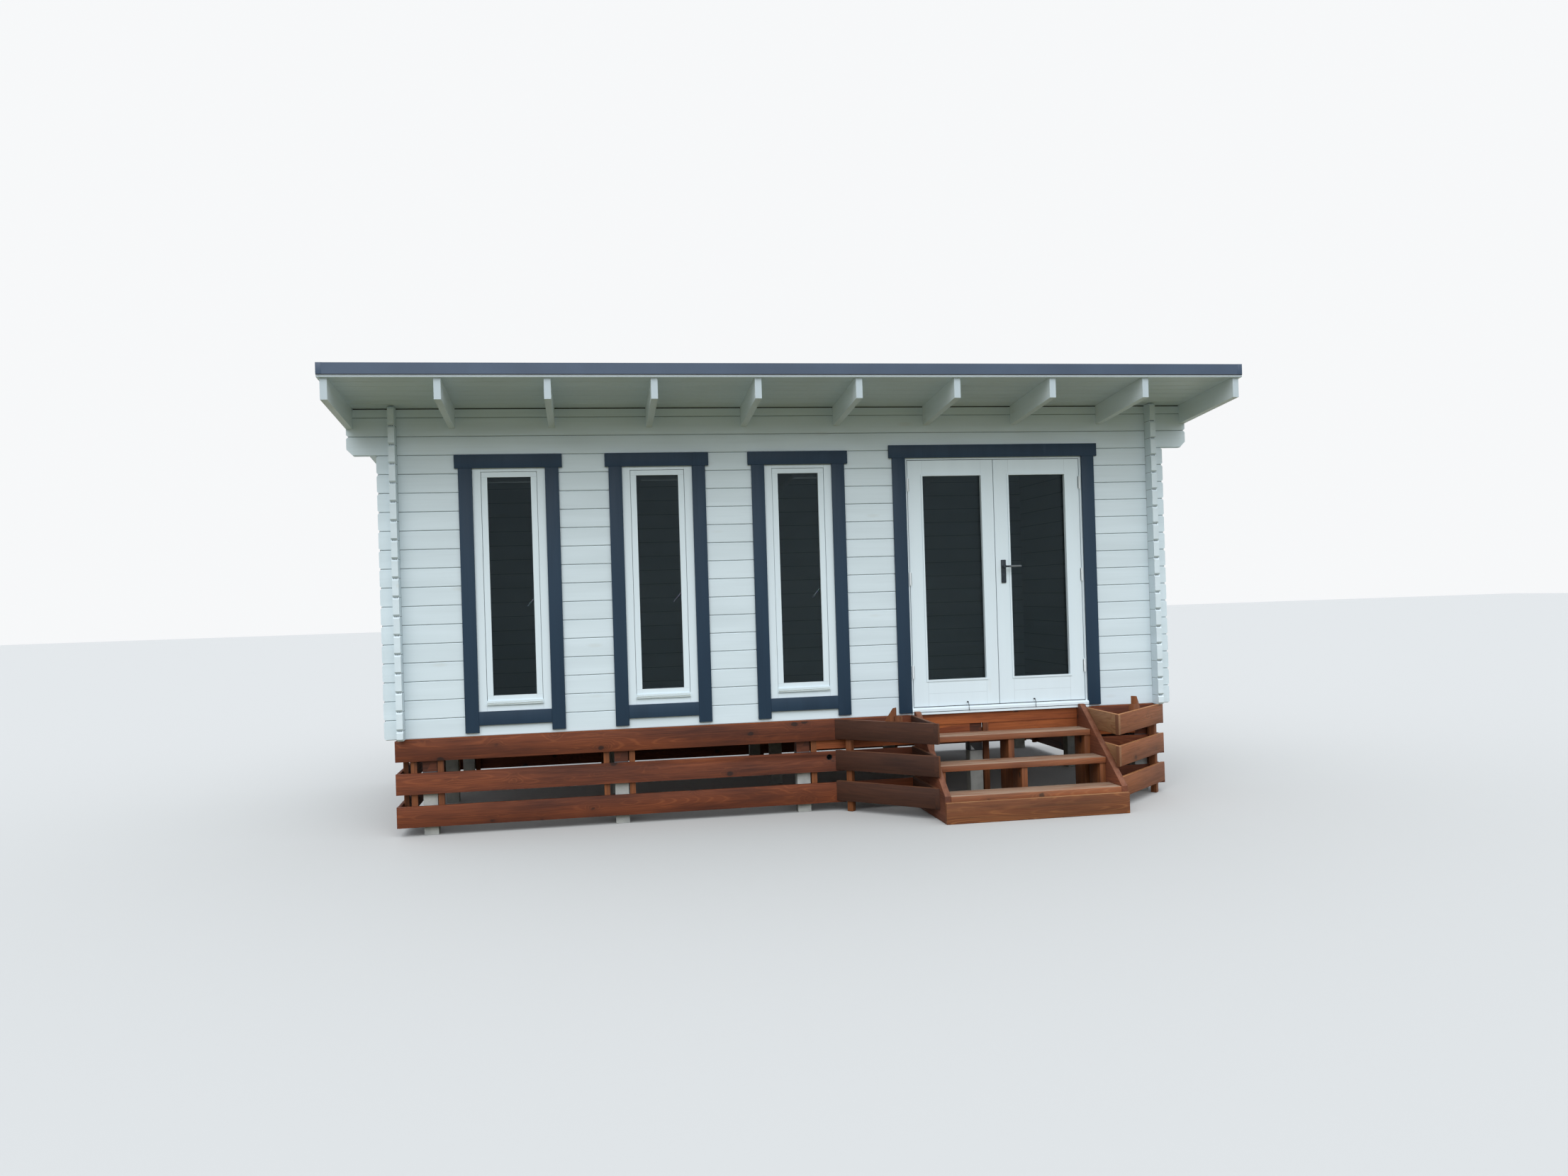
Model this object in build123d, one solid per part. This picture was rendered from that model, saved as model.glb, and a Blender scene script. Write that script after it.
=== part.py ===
from build123d import *
import math
import os

# A garden office built of interlocking timber logs, raised on concrete stumps.
# Sizes are in millimetres. X runs along the front wall, +Y goes into the room, Z is up
# from the ground, and the origin lies on the ground under the middle of the roof.

# Log walls
course = 135.0                # height of one log
bottom_course = 140.0         # the first log of the front and back walls
log_thickness = 44.0
log_end = 100.0               # how far a log runs past the wall that it crosses
joint_bevel = 5.0             # half of the V joint between two logs
end_bevel = 14.0              # 45 degree cut at the ends of the logs
log_gap = 0.3                 # clearance between two logs
wall_base = 692.0             # underside of the walls
wall_depth = 2800.0           # outside of the front and back walls
front_courses = 17            # whole logs in the front wall
back_courses = 15             # whole logs in the back wall
feather_height = 8.0          # the sloping gable logs stop at this height
cut_past = 10.0               # cutting shapes run past the pieces that they cut

# Roof
rafter_width = 45.0
rafter_height = 145.0
rafter_count = 10
roof_width = 6400.0           # outside faces of the outer rafters
side_overhang = 300.0         # of the outer rafters past the side walls
front_overhang = 800.0
back_overhang = 250.0
roof_board = 20.0
soffit_board_pitch = 114.0    # V joints in the underside of the roof
soffit_bevel = 4.0
roof_batten_height = 45.0
roof_batten_width = 70.0
roof_batten_count = 7
sheet_thickness = 1.5
rib_height = 20.0
rib_pitch = 250.0
rib_base = 60.0
rib_top = 30.0
flashing_thickness = 1.5
flashing_drop = 74.0          # height of the flashing's face
flashing_flange = 140.0
edge_strip = 18.0             # thickness of the white strip on the roof's edge
edge_strip_height = 26.0
edge_strip_rise = 1.0         # the strip stands above the boards by this
seat = 0.3                    # clearance where one piece rests on another
long_brace = 46.0             # bevel under the ends of the logs that carry the outer rafters
soffit_gap = 9.0              # between the top logs of the front and back walls and the roof boards

# Windows: the left edge of each one's visible frame
window_lefts = [-2339.0, -1268.0, -210.0]
window_visible_width = 515.0
window_visible_bottom = 868.0
window_visible_top = 2624.0
frame_cover = 25.0            # how far the trim laps over a frame
window_head_cover = 33.0      # from the visible frame up to the top of the opening
frame_fit = 2.0               # between a frame and the logs
frame_depth = 70.0
window_side = 58.0            # visible width of a frame's side
window_head = 26.0
window_foot = 74.0            # up to the underside of the sash
sash_gap = 3.0
sash_side = 42.0
sash_rail = 36.0
sash_depth = 52.0
sash_setback = 5.0
pane_thickness = 24.0
pane_lap = 10.0               # how far a pane reaches behind its sash or leaf
drip_height = 30.0
drip_reach = 14.0
drip_lip = 13.5               # height of the drip's thick lower part
drip_shoulder = 10.5          # from the sash down to where the drip starts to thicken
drip_thin = 6.3               # thickness of its upper part

# Trim boards
trim_width = 98.0
trim_thickness = 20.0
trim_ear = 26.0               # the head board runs past the side boards
trim_tail = 52.0              # the side boards run down past the foot board
door_trim_width = 102.0
door_trim_foot = 708.0

# Door
door_centre = 1595.0
door_pair_width = 1388.0
left_leaf_width = 683.5
leaf_bottom = 750.0
leaf_top = 2642.0
leaf_thickness = 54.0
leaf_face = 2.0               # front face of the leaves, behind the wall's outer face
leaf_gap = 5.0                # running clearance round the leaves
meeting_bevel = 3.0
leaf_stile = 118.0
leaf_meeting_left = 98.0      # left leaf's stile at the seam
leaf_meeting_right = 122.0    # right leaf's stile at the seam
leaf_top_rail = 120.0
leaf_bottom_rail = 203.0
bead_width = 13.0
bead_thickness = 5.0
jamb_width = 42.0
door_frame_depth = 90.0
stop_width = 12.0
door_trim_reveal = 15.0       # width of jamb left visible beside the door trim
door_head_reveal = 15.0
threshold_top = 745.0
threshold_reach = 25.0
threshold_nose = 12.0         # from the threshold's top down to its nose
threshold_fall = 4.0
threshold_round = 6.0

# Hinges and handle
hinge_heights = [1018.0, 1733.0, 2456.0]
hinge_radius = 7.0
hinge_length = 96.0
hinge_out = 8.0               # axis in front of the frame's face
hinge_break = 0.6             # between the two knuckles of a hinge
hinge_arm = 6.5               # far side of a knuckle's arm from the axis
hinge_end = 12.0              # the arm is shorter than its knuckle by this at each end
handle_height = 1810.0
handle_inset = 60.0           # spindle from the seam edge of the right leaf
plate_width = 38.0
plate_height = 180.0
plate_above = 53.0            # plate above the spindle
plate_thickness = 7.0
plate_corner = 3.0
spindle_radius = 9.0
spindle_clearance = 1.0       # in the leaf
plate_clearance = 0.05        # between the spindle and a plate
lever_length = 125.0
lever_out = 44.0              # middle of the lever in front of the plate
lever_height = 15.0
lever_tip_height = 12.0
lever_thickness = 12.0

# Floor and stumps
floor_board = 18.0
rim_height = 85.0
rim_width = 45.0
joists_per_bay = 3            # joists for each stump
rail_height = 67.0
tall_rail_height = 139.0      # of the rails right of the middle stump
rail_setback = 6.0
rail_end_gap = 70.0           # the middle rail stops short of the side walls' faces
stump_size = 100.0
stump_top = 395.0
stump_cap = 4.0
stump_inset = 176.0           # outer columns of stumps, inside the side walls' outer faces
stump_offset = 28.0           # all stumps stand this far to the right
stump_columns = 5
stump_setback = 70.0          # middle of the outer rows, inside the wall's outer face

# Skirting
skirting_board = 25.0
skirting_height = 150.0
skirting_bottoms = [65.0, 300.0, 535.0]
skirting_corner = 27.0        # the front and back boards run past the side walls
batten_width = 42.0
batten_thickness = 35.0
batten_right = 78.0           # from a stump's middle to the middle of the batten on its right
batten_left = 108.0           # and on its left
left_batten_columns = (0, 1)  # only these stumps have a batten on their left
batten_bottom = 60.0
vent_x = 220.0
vent_z = 407.0
vent_radius = 22.0

# Steps
step_left = 890.0
step_right = 2260.0
stringer_thickness = 45.0
stringer_top = 720.0
stringer_crest = 63.0
stringer_clearance = 1.0      # in front of the threshold
stringer_nose_z = 192.0
stringer_reach = 758.0
tread_thickness = 45.0
tread_tops = [546.0, 368.0, 190.0]
tread_fronts = [246.0, 507.0, 757.7]
tread_depths = [216.0, 226.0, 211.0]
riser_thickness = 30.0
riser_height = 150.0
support_setback = 10.0
support_depth = 190.0
support_middle = 1583.0

# Slatted wings beside the steps
wing_reach = 640.0            # outer corner in front of the wall
left_wing_end = 267.0
wing_bottoms = [80.0, 310.0, 542.0]
wing_board = 25.0
wing_post = 45.0
wing_post_rise = 38.0         # the first post stands this far above the boards
wing_post_fall = 22.0         # and the second one stays this far below their top
short_post_low = 8.0          # the first post and the stake start this far above the top board's foot
left_post_places = [0.372, 0.86]    # along the diagonal boards
right_post_places = [0.415, 0.86]
stake_gap = 4.0               # between the first post and the stake
stake_width = 80.0
stake_thickness = 45.0
stake_top = 790.0
stake_tip = 6.0               # flat part of the stake's top
stake_lean = 36.0             # degrees, of its cut top

# Derived places
wall_width = roof_width - 2 * side_overhang
half_width = wall_width / 2
half_roof = roof_width / 2
wall_front = front_overhang - (front_overhang + wall_depth + back_overhang) / 2
wall_back = wall_front + wall_depth
roof_front = wall_front - front_overhang
roof_back = wall_back + back_overhang
first_seam = wall_base + bottom_course
front_roof_z = first_seam + (front_courses - 1) * course + course / 2
back_roof_z = first_seam + (back_courses - 1) * course + course / 2
slope = (front_roof_z - back_roof_z) / wall_depth
slope_length = math.hypot(1.0, slope)
room_half = half_width - log_thickness
window_opening_top = window_visible_top + window_head_cover
left_leaf_low = door_centre - door_pair_width / 2
right_leaf_high = door_centre + door_pair_width / 2
left_leaf_high = left_leaf_low + left_leaf_width
right_leaf_low = left_leaf_high + leaf_gap
door_frame_left = left_leaf_low - leaf_gap - jamb_width
door_frame_right = right_leaf_high + leaf_gap + jamb_width
door_frame_top = leaf_top + leaf_gap + jamb_width
floor_top = wall_base + seat + floor_board
rim_bottom = wall_base - rim_height
handle_x = right_leaf_low + handle_inset
corner_x = half_width + skirting_corner


def under_roof(y):
    """Height of the roof boards' underside at a depth y."""
    return front_roof_z - slope * (y - wall_front)


def block(x0, x1, y0, y1, z0, z1):
    """A box between two opposite corners."""
    middle = ((x0 + x1) / 2, (y0 + y1) / 2, (z0 + z1) / 2)
    return Pos(*middle) * Box(x1 - x0, y1 - y0, z1 - z0)


def prism_along_x(points, x0, x1):
    """A solid with an outline in Y and Z, from x0 to x1."""
    face = make_face(Plane.YZ * Polyline(*points, close=True))
    return Pos(x0, 0, 0) * extrude(face, amount=x1 - x0, dir=(1, 0, 0))


def prism_along_y(points, y0, y1):
    """A solid with an outline in X and Z, from y0 to y1."""
    path = Polyline(*[(x, 0, z) for x, z in points], close=True)
    return Pos(0, y0, 0) * extrude(make_face(path), amount=y1 - y0, dir=(0, 1, 0))


def prism_up(points, z0, z1):
    """A solid with an outline in X and Y, from z0 to z1."""
    path = Polyline(*[(x, y, 0) for x, y in points], close=True)
    return Pos(0, 0, z0) * extrude(make_face(path), amount=z1 - z0, dir=(0, 0, 1))


def sloping(y0, y1, low, high, x0, x1):
    """A slab that follows the roof, with low and high measured from the boards' underside."""
    points = [
        (y0, under_roof(y0) + low),
        (y1, under_roof(y1) + low),
        (y1, under_roof(y1) + high),
        (y0, under_roof(y0) + high),
    ]
    return prism_along_x(points, x0, x1)


def flatten(shapes):
    """The single solids of a list of shapes."""
    found = []
    for shape in shapes:
        found.extend(shape.solids())
    return found


# Rafters, and the space above the walls that belongs to the roof
rafter_pitch = (roof_width - rafter_width) / (rafter_count - 1)
rafter_lows = [-half_roof + i * rafter_pitch for i in range(rafter_count)]
rafter_drop = rafter_height * slope_length
rafters = [
    sloping(roof_front + seat, roof_back - seat, -rafter_drop, -seat, x, x + rafter_width)
    for x in rafter_lows
]
rafter_slots = [
    sloping(roof_front, roof_back, -rafter_drop - seat, 0.0, x - seat, x + rafter_width + seat)
    for x in rafter_lows
]
roof_reach = (roof_front - log_end, roof_back + log_end)
roof_space = sloping(*roof_reach, -seat, 2 * course, -half_roof - cut_past, half_roof + cut_past)
soffit_space = sloping(*roof_reach, -soffit_gap, 2 * course, -half_roof - cut_past, half_roof + cut_past)


def crossing(low_edge, nominal_top):
    """The notch where a log is crossed by the logs of another wall: its span and its neck."""
    span = (low_edge - log_gap / 2, low_edge + log_thickness + log_gap / 2)
    neck_low = nominal_top - 0.75 * course + log_gap / 2
    neck_high = nominal_top - 0.25 * course - log_gap / 2
    return (*span, neck_low, neck_high)


def log(start, end, low, high, notches=(), start_cut=end_bevel, end_cut=end_bevel, brace=0.0):
    """A log along X with its outer face on Y = 0: V bevels outside, cut ends and notches."""
    top = high - log_gap
    section = [
        (0, low + joint_bevel),
        (0, top - joint_bevel),
        (joint_bevel, top),
        (log_thickness, top),
        (log_thickness, low),
        (joint_bevel, low),
    ]
    bar = prism_along_x(section, start, end)
    start_low = max(start_cut, brace)
    end_low = max(end_cut, brace)
    lower = []
    upper = []
    for x0, x1, neck_low, neck_high in notches:
        if neck_low > low + log_gap:
            lower += [(x0, low), (x0, neck_low), (x1, neck_low), (x1, low)]
        if neck_high < top:
            upper = [(x1, top), (x1, neck_high), (x0, neck_high), (x0, top)] + upper
    outline = []
    outline += [(start, low + start_low), (start + start_low, low)] if start_low else [(start, low)]
    outline += lower
    outline += [(end - end_low, low), (end, low + end_low)] if end_low else [(end, low)]
    outline += [(end, top - end_cut), (end - end_cut, top)] if end_cut else [(end, top)]
    outline += upper
    outline += [(start + start_cut, top), (start, top - start_cut)] if start_cut else [(start, top)]
    return bar & prism_along_y(outline, -cut_past, log_thickness + cut_past)


# Front and back walls. Their logs share seams, and the side walls' seams lie half a log higher.
long_start = -half_roof
log_start = -half_width - log_end
side_crossings = (-half_width, room_half)


def long_wall_log(k, courses):
    """One whole log of the front or back wall, numbered from the bottom."""
    top = first_seam + k * course
    low = wall_base if k == 0 else top - course
    notches = [crossing(edge, top) for edge in side_crossings]
    if k < courses - 2:
        return log(log_start, -log_start, low, top, notches)
    if k == courses - 2:
        return log(long_start, -long_start, low, top, notches, brace=long_brace)
    return log(long_start, -long_start, low, top, notches)


def at_front(shape):
    return Pos(0, wall_front, 0) * shape


def at_back(shape):
    """Turned half round, so that the bevelled face looks out at the back."""
    return Pos(0, wall_back, 0) * Rot(0, 0, 180) * shape


window_openings = []
for left in window_lefts:
    low_x = left - frame_cover - frame_fit
    high_x = left + window_visible_width + frame_cover + frame_fit
    window_openings.append((low_x, high_x))
door_opening = (door_frame_left - frame_fit, door_frame_right + frame_fit)
door_opening_top = door_frame_top + frame_fit

pier_edges = [log_start]
for low_x, high_x in window_openings:
    pier_edges += [low_x, high_x]
pier_edges += [door_opening[0]]

front_left = []
front_right = []
front_over = []
opening_boxes = [
    block(low_x, high_x, -cut_past, log_thickness + cut_past, first_seam, window_opening_top)
    for low_x, high_x in window_openings
]
opening_boxes.append(block(
    *door_opening, -cut_past, log_thickness + cut_past, wall_base, door_opening_top))
header_course = math.floor((window_opening_top - first_seam) / course) + 1
for k in range(header_course):
    top = first_seam + k * course
    low = wall_base if k == 0 else top - course
    left_notch = [crossing(-half_width, top)]
    right_notch = [crossing(room_half, top)]
    if k == 0:
        front_left.append(log(log_start, door_opening[0], low, top, left_notch, end_cut=0))
    else:
        for i in range(0, len(pier_edges), 2):
            notch = left_notch if i == 0 else ()
            cut = end_bevel if i == 0 else 0
            front_left.append(log(pier_edges[i], pier_edges[i + 1], low, top, notch, cut, 0))
    front_right.append(log(door_opening[1], -log_start, low, top, right_notch, 0))
for k in range(header_course, front_courses):
    whole = long_wall_log(k, front_courses)
    if k == header_course:
        whole = whole - opening_boxes
    front_over.append(at_front(whole))

upper_half_log = long_wall_log(front_courses, front_courses)
front_over.append(at_front(upper_half_log) - soffit_space)
front_over[-2:] = [piece - rafter_slots for piece in front_over[-2:]]
front_wall_left = [at_front(piece) for piece in front_left]
front_wall_right = [at_front(piece) for piece in front_right]
front_wall_over_door = flatten(front_over)
front_wall_left.append(block(
    door_opening[0] + seat, door_opening[1] - seat,
    wall_front, wall_front + log_thickness, wall_base + seat, floor_top,
))
back_pieces = [at_back(long_wall_log(k, back_courses)) for k in range(back_courses)]
back_pieces.append(at_back(long_wall_log(back_courses, back_courses)) - soffit_space)
back_pieces[-2:] = [piece - rafter_slots for piece in back_pieces[-2:]]
back_wall = flatten(back_pieces)


def side_wall():
    """The logs of the right wall, cut along the roof."""
    turn = Pos(half_width, wall_front, 0) * Rot(0, 0, 90)
    pieces = []
    top = first_seam - course / 2
    low = wall_base
    while low + feather_height < front_roof_z:
        reach = (front_roof_z - low - feather_height) / slope
        end = min(wall_depth + log_end, reach)
        end_cut = end_bevel if reach > wall_depth + log_end else 0
        notches = [crossing(0.0, top)]
        if reach > wall_depth:
            notches.append(crossing(wall_depth - log_thickness, top))
        piece = turn * log(-log_end, end, low, top, notches, end_bevel, end_cut)
        if under_roof(wall_front + end) < top:
            piece = piece - roof_space
        pieces.append(piece)
        low = top
        top += course
    return flatten(pieces)


right_wall = side_wall()
left_wall = [mirror(piece, about=Plane.YZ) for piece in right_wall]

# Roof boards with V joints along their underside
board_count = int((roof_back - roof_front) // soffit_board_pitch)
underside = [(roof_front, under_roof(roof_front))]
for i in range(1, board_count + 1):
    y = roof_front + i * soffit_board_pitch
    if y < roof_back - soffit_bevel * 2:
        underside += [
            (y - soffit_bevel, under_roof(y - soffit_bevel)),
            (y, under_roof(y) + soffit_bevel),
            (y + soffit_bevel, under_roof(y + soffit_bevel)),
        ]
board_top = roof_board * slope_length
underside.append((roof_back, under_roof(roof_back)))
topside = [(roof_back, under_roof(roof_back) + board_top), (roof_front, under_roof(roof_front) + board_top)]
roof_boards = [prism_along_x(underside + topside, -half_roof, half_roof)]

# Battens, ribbed sheet and flashings
batten_low = board_top + seat
batten_top = batten_low + roof_batten_height
batten_span = roof_back - roof_front - roof_batten_width
roof_battens = []
for i in range(roof_batten_count):
    y = roof_front + i * batten_span / (roof_batten_count - 1)
    roof_battens.append(sloping(y, y + roof_batten_width, batten_low, batten_top, -half_roof, half_roof))

sheet_low = batten_top + seat
sheet_half = half_roof + edge_strip
rib_count = int((2 * sheet_half - rib_base) // rib_pitch)
rib_middles = [(i - (rib_count - 1) / 2) * rib_pitch for i in range(rib_count)]
front_sheet_z = under_roof(roof_front) + sheet_low
sheet_line = [(-sheet_half, 0.0)]
for x in rib_middles:
    sheet_line += [
        (x - rib_base / 2, 0.0),
        (x - rib_top / 2, rib_height),
        (x + rib_top / 2, rib_height),
        (x + rib_base / 2, 0.0),
    ]
sheet_line.append((sheet_half, 0.0))
sheet_outline = [(x, front_sheet_z + z) for x, z in sheet_line]
sheet_outline += [(x, front_sheet_z + z + sheet_thickness) for x, z in reversed(sheet_line)]
sheet_face = make_face(Polyline(*[(x, roof_front, z) for x, z in sheet_outline], close=True))
sheet_run = (roof_back - roof_front) * slope_length
roof_sheet = [extrude(sheet_face, amount=sheet_run, dir=(0, 1 / slope_length, -slope / slope_length))]

flange_low = sheet_low + rib_height + sheet_thickness + seat
flange_top = flange_low + flashing_thickness
flashing_front = roof_front - edge_strip - seat
flashing_back = roof_back + edge_strip + seat
flashing_side = half_roof + edge_strip + seat


def cross_flashing(face_y, inward):
    """The flashing along the front (inward = 1) or back (inward = -1) of the roof."""
    outer = face_y - inward * flashing_thickness
    top = under_roof(face_y) + flange_top
    y_pair = sorted((outer, face_y))
    reach = flashing_side + flashing_thickness
    face = block(-reach, reach, *y_pair, top - flashing_drop, top)
    flange_pair = sorted((face_y, face_y + inward * (edge_strip + flashing_flange)))
    inner_reach = flashing_side - edge_strip - flashing_flange - seat
    flange = sloping(*flange_pair, flange_low, flange_top, -inner_reach, inner_reach)
    return face + flange


def side_flashing(side):
    """The flashing along the left (side = -1) or right (side = 1) edge of the roof."""
    y_pair = (flashing_front + seat, flashing_back - seat)
    x_pair = sorted((side * flashing_side, side * (flashing_side + flashing_thickness)))
    face = sloping(*y_pair, flange_top - flashing_drop, flange_top, *x_pair)
    flange_end = flashing_side - edge_strip - flashing_flange
    flange_pair = sorted((side * flange_end, side * flashing_side))
    return face + sloping(*y_pair, flange_low, flange_top, *flange_pair)


roof_flashings = [
    cross_flashing(flashing_front, 1),
    cross_flashing(flashing_back, -1),
    side_flashing(-1),
    side_flashing(1),
]

strip_top = board_top + edge_strip_rise
strip_low = strip_top - edge_strip_height
roof_edge_strips = [
    sloping(roof_front - edge_strip, roof_front - seat, strip_low, strip_top, -half_roof, half_roof),
    sloping(roof_back + seat, roof_back + edge_strip, strip_low, strip_top, -half_roof, half_roof),
]
for side in (-1, 1):
    strip_x = sorted((side * (half_roof + seat), side * (half_roof + edge_strip)))
    strip_y = (roof_front - edge_strip, roof_back + edge_strip)
    roof_edge_strips.append(sloping(*strip_y, strip_low, strip_top, *strip_x))

# Windows: frame bars, sash bars with a rebate for the pane, a drip piece and trim boards
window_frames = []
window_sashes = []
window_panes = []
window_trims = []
frame_y = wall_front + seat
for left in window_lefts:
    right = left + window_visible_width
    frame_left = left - frame_cover
    frame_right = right + frame_cover
    frame_foot = first_seam + frame_fit
    frame_head = window_opening_top - frame_fit
    hole_left = left + window_side
    hole_right = right - window_side
    hole_low = window_visible_bottom + window_foot
    hole_top = window_visible_top - window_head
    depth = (frame_y, frame_y + frame_depth)
    window_frames += [
        block(frame_left, hole_left, *depth, frame_foot, frame_head),
        block(hole_right, frame_right, *depth, frame_foot, frame_head),
        block(hole_left + seat, hole_right - seat, *depth, hole_top, frame_head),
        block(hole_left + seat, hole_right - seat, *depth, frame_foot, hole_low),
    ]
    drip_x = (hole_left + seat, hole_right - seat)
    drip_z = hole_low - seat
    drip_outline = [
        (frame_y - seat, drip_z),
        (frame_y - seat, drip_z - drip_height),
        (frame_y - drip_reach, drip_z - drip_height),
        (frame_y - drip_reach, drip_z - drip_height + drip_lip),
        (frame_y - drip_thin, drip_z - drip_shoulder),
        (frame_y - drip_thin, drip_z),
    ]
    window_frames.append(prism_along_x(drip_outline, *drip_x))

    sash_left = hole_left + sash_gap
    sash_right = hole_right - sash_gap
    sash_low = hole_low + seat
    sash_top = hole_top - sash_gap
    sash_y = frame_y + sash_setback
    glass_left = sash_left + sash_side
    glass_right = sash_right - sash_side
    glass_low = sash_low + sash_rail
    glass_top = sash_top - sash_rail
    sash_depths = (sash_y, sash_y + sash_depth)
    rebate = block(
        glass_left - pane_lap, glass_right + pane_lap,
        sash_y + sash_depth - pane_thickness, sash_y + sash_depth + cut_past,
        glass_low - pane_lap, glass_top + pane_lap,
    )
    bars = [
        block(sash_left, glass_left, *sash_depths, sash_low, sash_top),
        block(glass_right, sash_right, *sash_depths, sash_low, sash_top),
        block(glass_left + seat, glass_right - seat, *sash_depths, glass_top, sash_top),
        block(glass_left + seat, glass_right - seat, *sash_depths, sash_low, glass_low),
    ]
    window_sashes += [bar - rebate for bar in bars]
    window_panes.append(block(
        glass_left - pane_lap + seat, glass_right + pane_lap - seat,
        sash_y + sash_depth - pane_thickness + seat, sash_y + sash_depth,
        glass_low - pane_lap + seat, glass_top + pane_lap - seat,
    ))

    trim_y = (wall_front - trim_thickness, wall_front)
    side_low = window_visible_bottom - trim_width - trim_tail
    window_trims += [
        block(left - trim_width, left, *trim_y, side_low, window_visible_top - seat),
        block(right, right + trim_width, *trim_y, side_low, window_visible_top - seat),
        block(
            left - trim_width - trim_ear, right + trim_width + trim_ear,
            *trim_y, window_visible_top, window_visible_top + trim_width,
        ),
        block(
            left + seat, right - seat,
            *trim_y, window_visible_bottom - trim_width, window_visible_bottom,
        ),
    ]

# Door frame with stops behind the leaves, threshold and trim
jamb_left_face = left_leaf_low - leaf_gap
jamb_right_face = right_leaf_high + leaf_gap
head_face = leaf_top + leaf_gap
stop_front = wall_front + leaf_face + leaf_thickness + leaf_gap
frame_back = frame_y + door_frame_depth
threshold_low = floor_top + seat


def jamb(outer, face, inward):
    """One side of the door frame; its stop reaches past the face of the jamb."""
    stop = face + inward * stop_width
    outline = [
        (outer, frame_y),
        (face, frame_y),
        (face, stop_front),
        (stop, stop_front),
        (stop, frame_back),
        (outer, frame_back),
    ]
    return prism_up(outline, threshold_low, door_frame_top)


head_outline = [
    (frame_y, door_frame_top),
    (frame_y, head_face),
    (stop_front, head_face),
    (stop_front, head_face - stop_width),
    (frame_back, head_face - stop_width),
    (frame_back, door_frame_top),
]
jamb_left = jamb(door_frame_left, jamb_left_face, 1)
jamb_right = jamb(door_frame_right, jamb_right_face, -1)
head_bar = prism_along_x(head_outline, jamb_left_face + seat, jamb_right_face - seat)
head_notch = [
    block(
        jamb_left_face, jamb_left_face + stop_width + seat, stop_front - seat, frame_back + cut_past,
        head_face - stop_width - cut_past, door_frame_top + cut_past,
    ),
    block(
        jamb_right_face - stop_width - seat, jamb_right_face, stop_front - seat, frame_back + cut_past,
        head_face - stop_width - cut_past, door_frame_top + cut_past,
    ),
]
door_frame = [jamb_left, jamb_right, head_bar - head_notch]
trim_left = jamb_left_face - door_trim_reveal
trim_right = jamb_right_face + door_trim_reveal
nose_outline = [
    (wall_front - threshold_reach, threshold_low),
    (wall_front - threshold_reach, threshold_top - threshold_nose),
    (wall_front - threshold_reach + threshold_round, threshold_top - threshold_fall),
    (wall_front, threshold_top),
    (wall_front, threshold_low),
]
threshold_ends = (jamb_left_face + stop_width + seat, jamb_right_face - stop_width - seat)
threshold_body = block(*threshold_ends, wall_front, frame_back, threshold_low, threshold_top)
threshold_nose_bar = prism_along_x(nose_outline, trim_left + seat, trim_right - seat)
foot_strip = block(
    trim_left + seat, trim_right - seat,
    wall_front - threshold_reach, wall_front - seat, wall_base + seat, floor_top,
)
door_threshold = [threshold_body + threshold_nose_bar, foot_strip]

trim_head = head_face + door_head_reveal
trim_y = (wall_front - trim_thickness, wall_front)
door_trim = [
    block(trim_left - door_trim_width, trim_left, *trim_y, door_trim_foot, trim_head - seat),
    block(trim_right, trim_right + door_trim_width, *trim_y, door_trim_foot, trim_head - seat),
    block(
        trim_left - door_trim_width - trim_ear, trim_right + door_trim_width + trim_ear,
        *trim_y, trim_head, trim_head + trim_width,
    ),
]

# Door leaves: one glazed opening each, beads round the glass, and a bevelled meeting edge
leaf_y = wall_front + leaf_face
leaf_back = leaf_y + leaf_thickness
bead_y = leaf_y - bead_thickness


def leaf(hinge_edge, seam_edge, glass_edge_hinge, glass_edge_seam):
    """One door leaf with the glazing bead on its face, and its pane."""
    inward = 1 if hinge_edge > seam_edge else -1
    outline = [
        (hinge_edge, leaf_y),
        (seam_edge, leaf_y),
        (seam_edge + inward * meeting_bevel, leaf_back),
        (hinge_edge, leaf_back),
    ]
    glass_x = sorted((glass_edge_hinge, glass_edge_seam))
    glass_z = (leaf_bottom + leaf_bottom_rail, leaf_top - leaf_top_rail)
    body = prism_up(outline, leaf_bottom, leaf_top)
    body -= block(*glass_x, leaf_y - cut_past, leaf_back + cut_past, *glass_z)
    pane_front = leaf_back - pane_thickness
    body -= block(
        glass_x[0] - pane_lap, glass_x[1] + pane_lap, pane_front, leaf_back + cut_past,
        glass_z[0] - pane_lap, glass_z[1] + pane_lap,
    )
    pane = block(
        glass_x[0] - pane_lap + seat, glass_x[1] + pane_lap - seat, pane_front + seat, leaf_back,
        glass_z[0] - pane_lap + seat, glass_z[1] + pane_lap - seat,
    )
    bead = block(
        glass_x[0] - bead_width, glass_x[1] + bead_width, bead_y, leaf_y,
        glass_z[0] - bead_width, glass_z[1] + bead_width,
    )
    bead -= block(*glass_x, bead_y - cut_past, leaf_y + cut_past, *glass_z)
    return body + bead, pane


left_body, left_pane = leaf(
    left_leaf_low, left_leaf_high, left_leaf_low + leaf_stile, left_leaf_high - leaf_meeting_left)
right_body, right_pane = leaf(
    right_leaf_high, right_leaf_low, right_leaf_high - leaf_stile, right_leaf_low + leaf_meeting_right)


def round_bar(radius, y0, y1):
    """A cylinder on the handle's spindle line, from y0 to y1."""
    return Pos(handle_x, (y0 + y1) / 2, handle_height) * Rot(90, 0, 0) * Cylinder(radius, y1 - y0)


right_body -= round_bar(spindle_radius + spindle_clearance, leaf_y - cut_past, leaf_back + cut_past)

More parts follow.
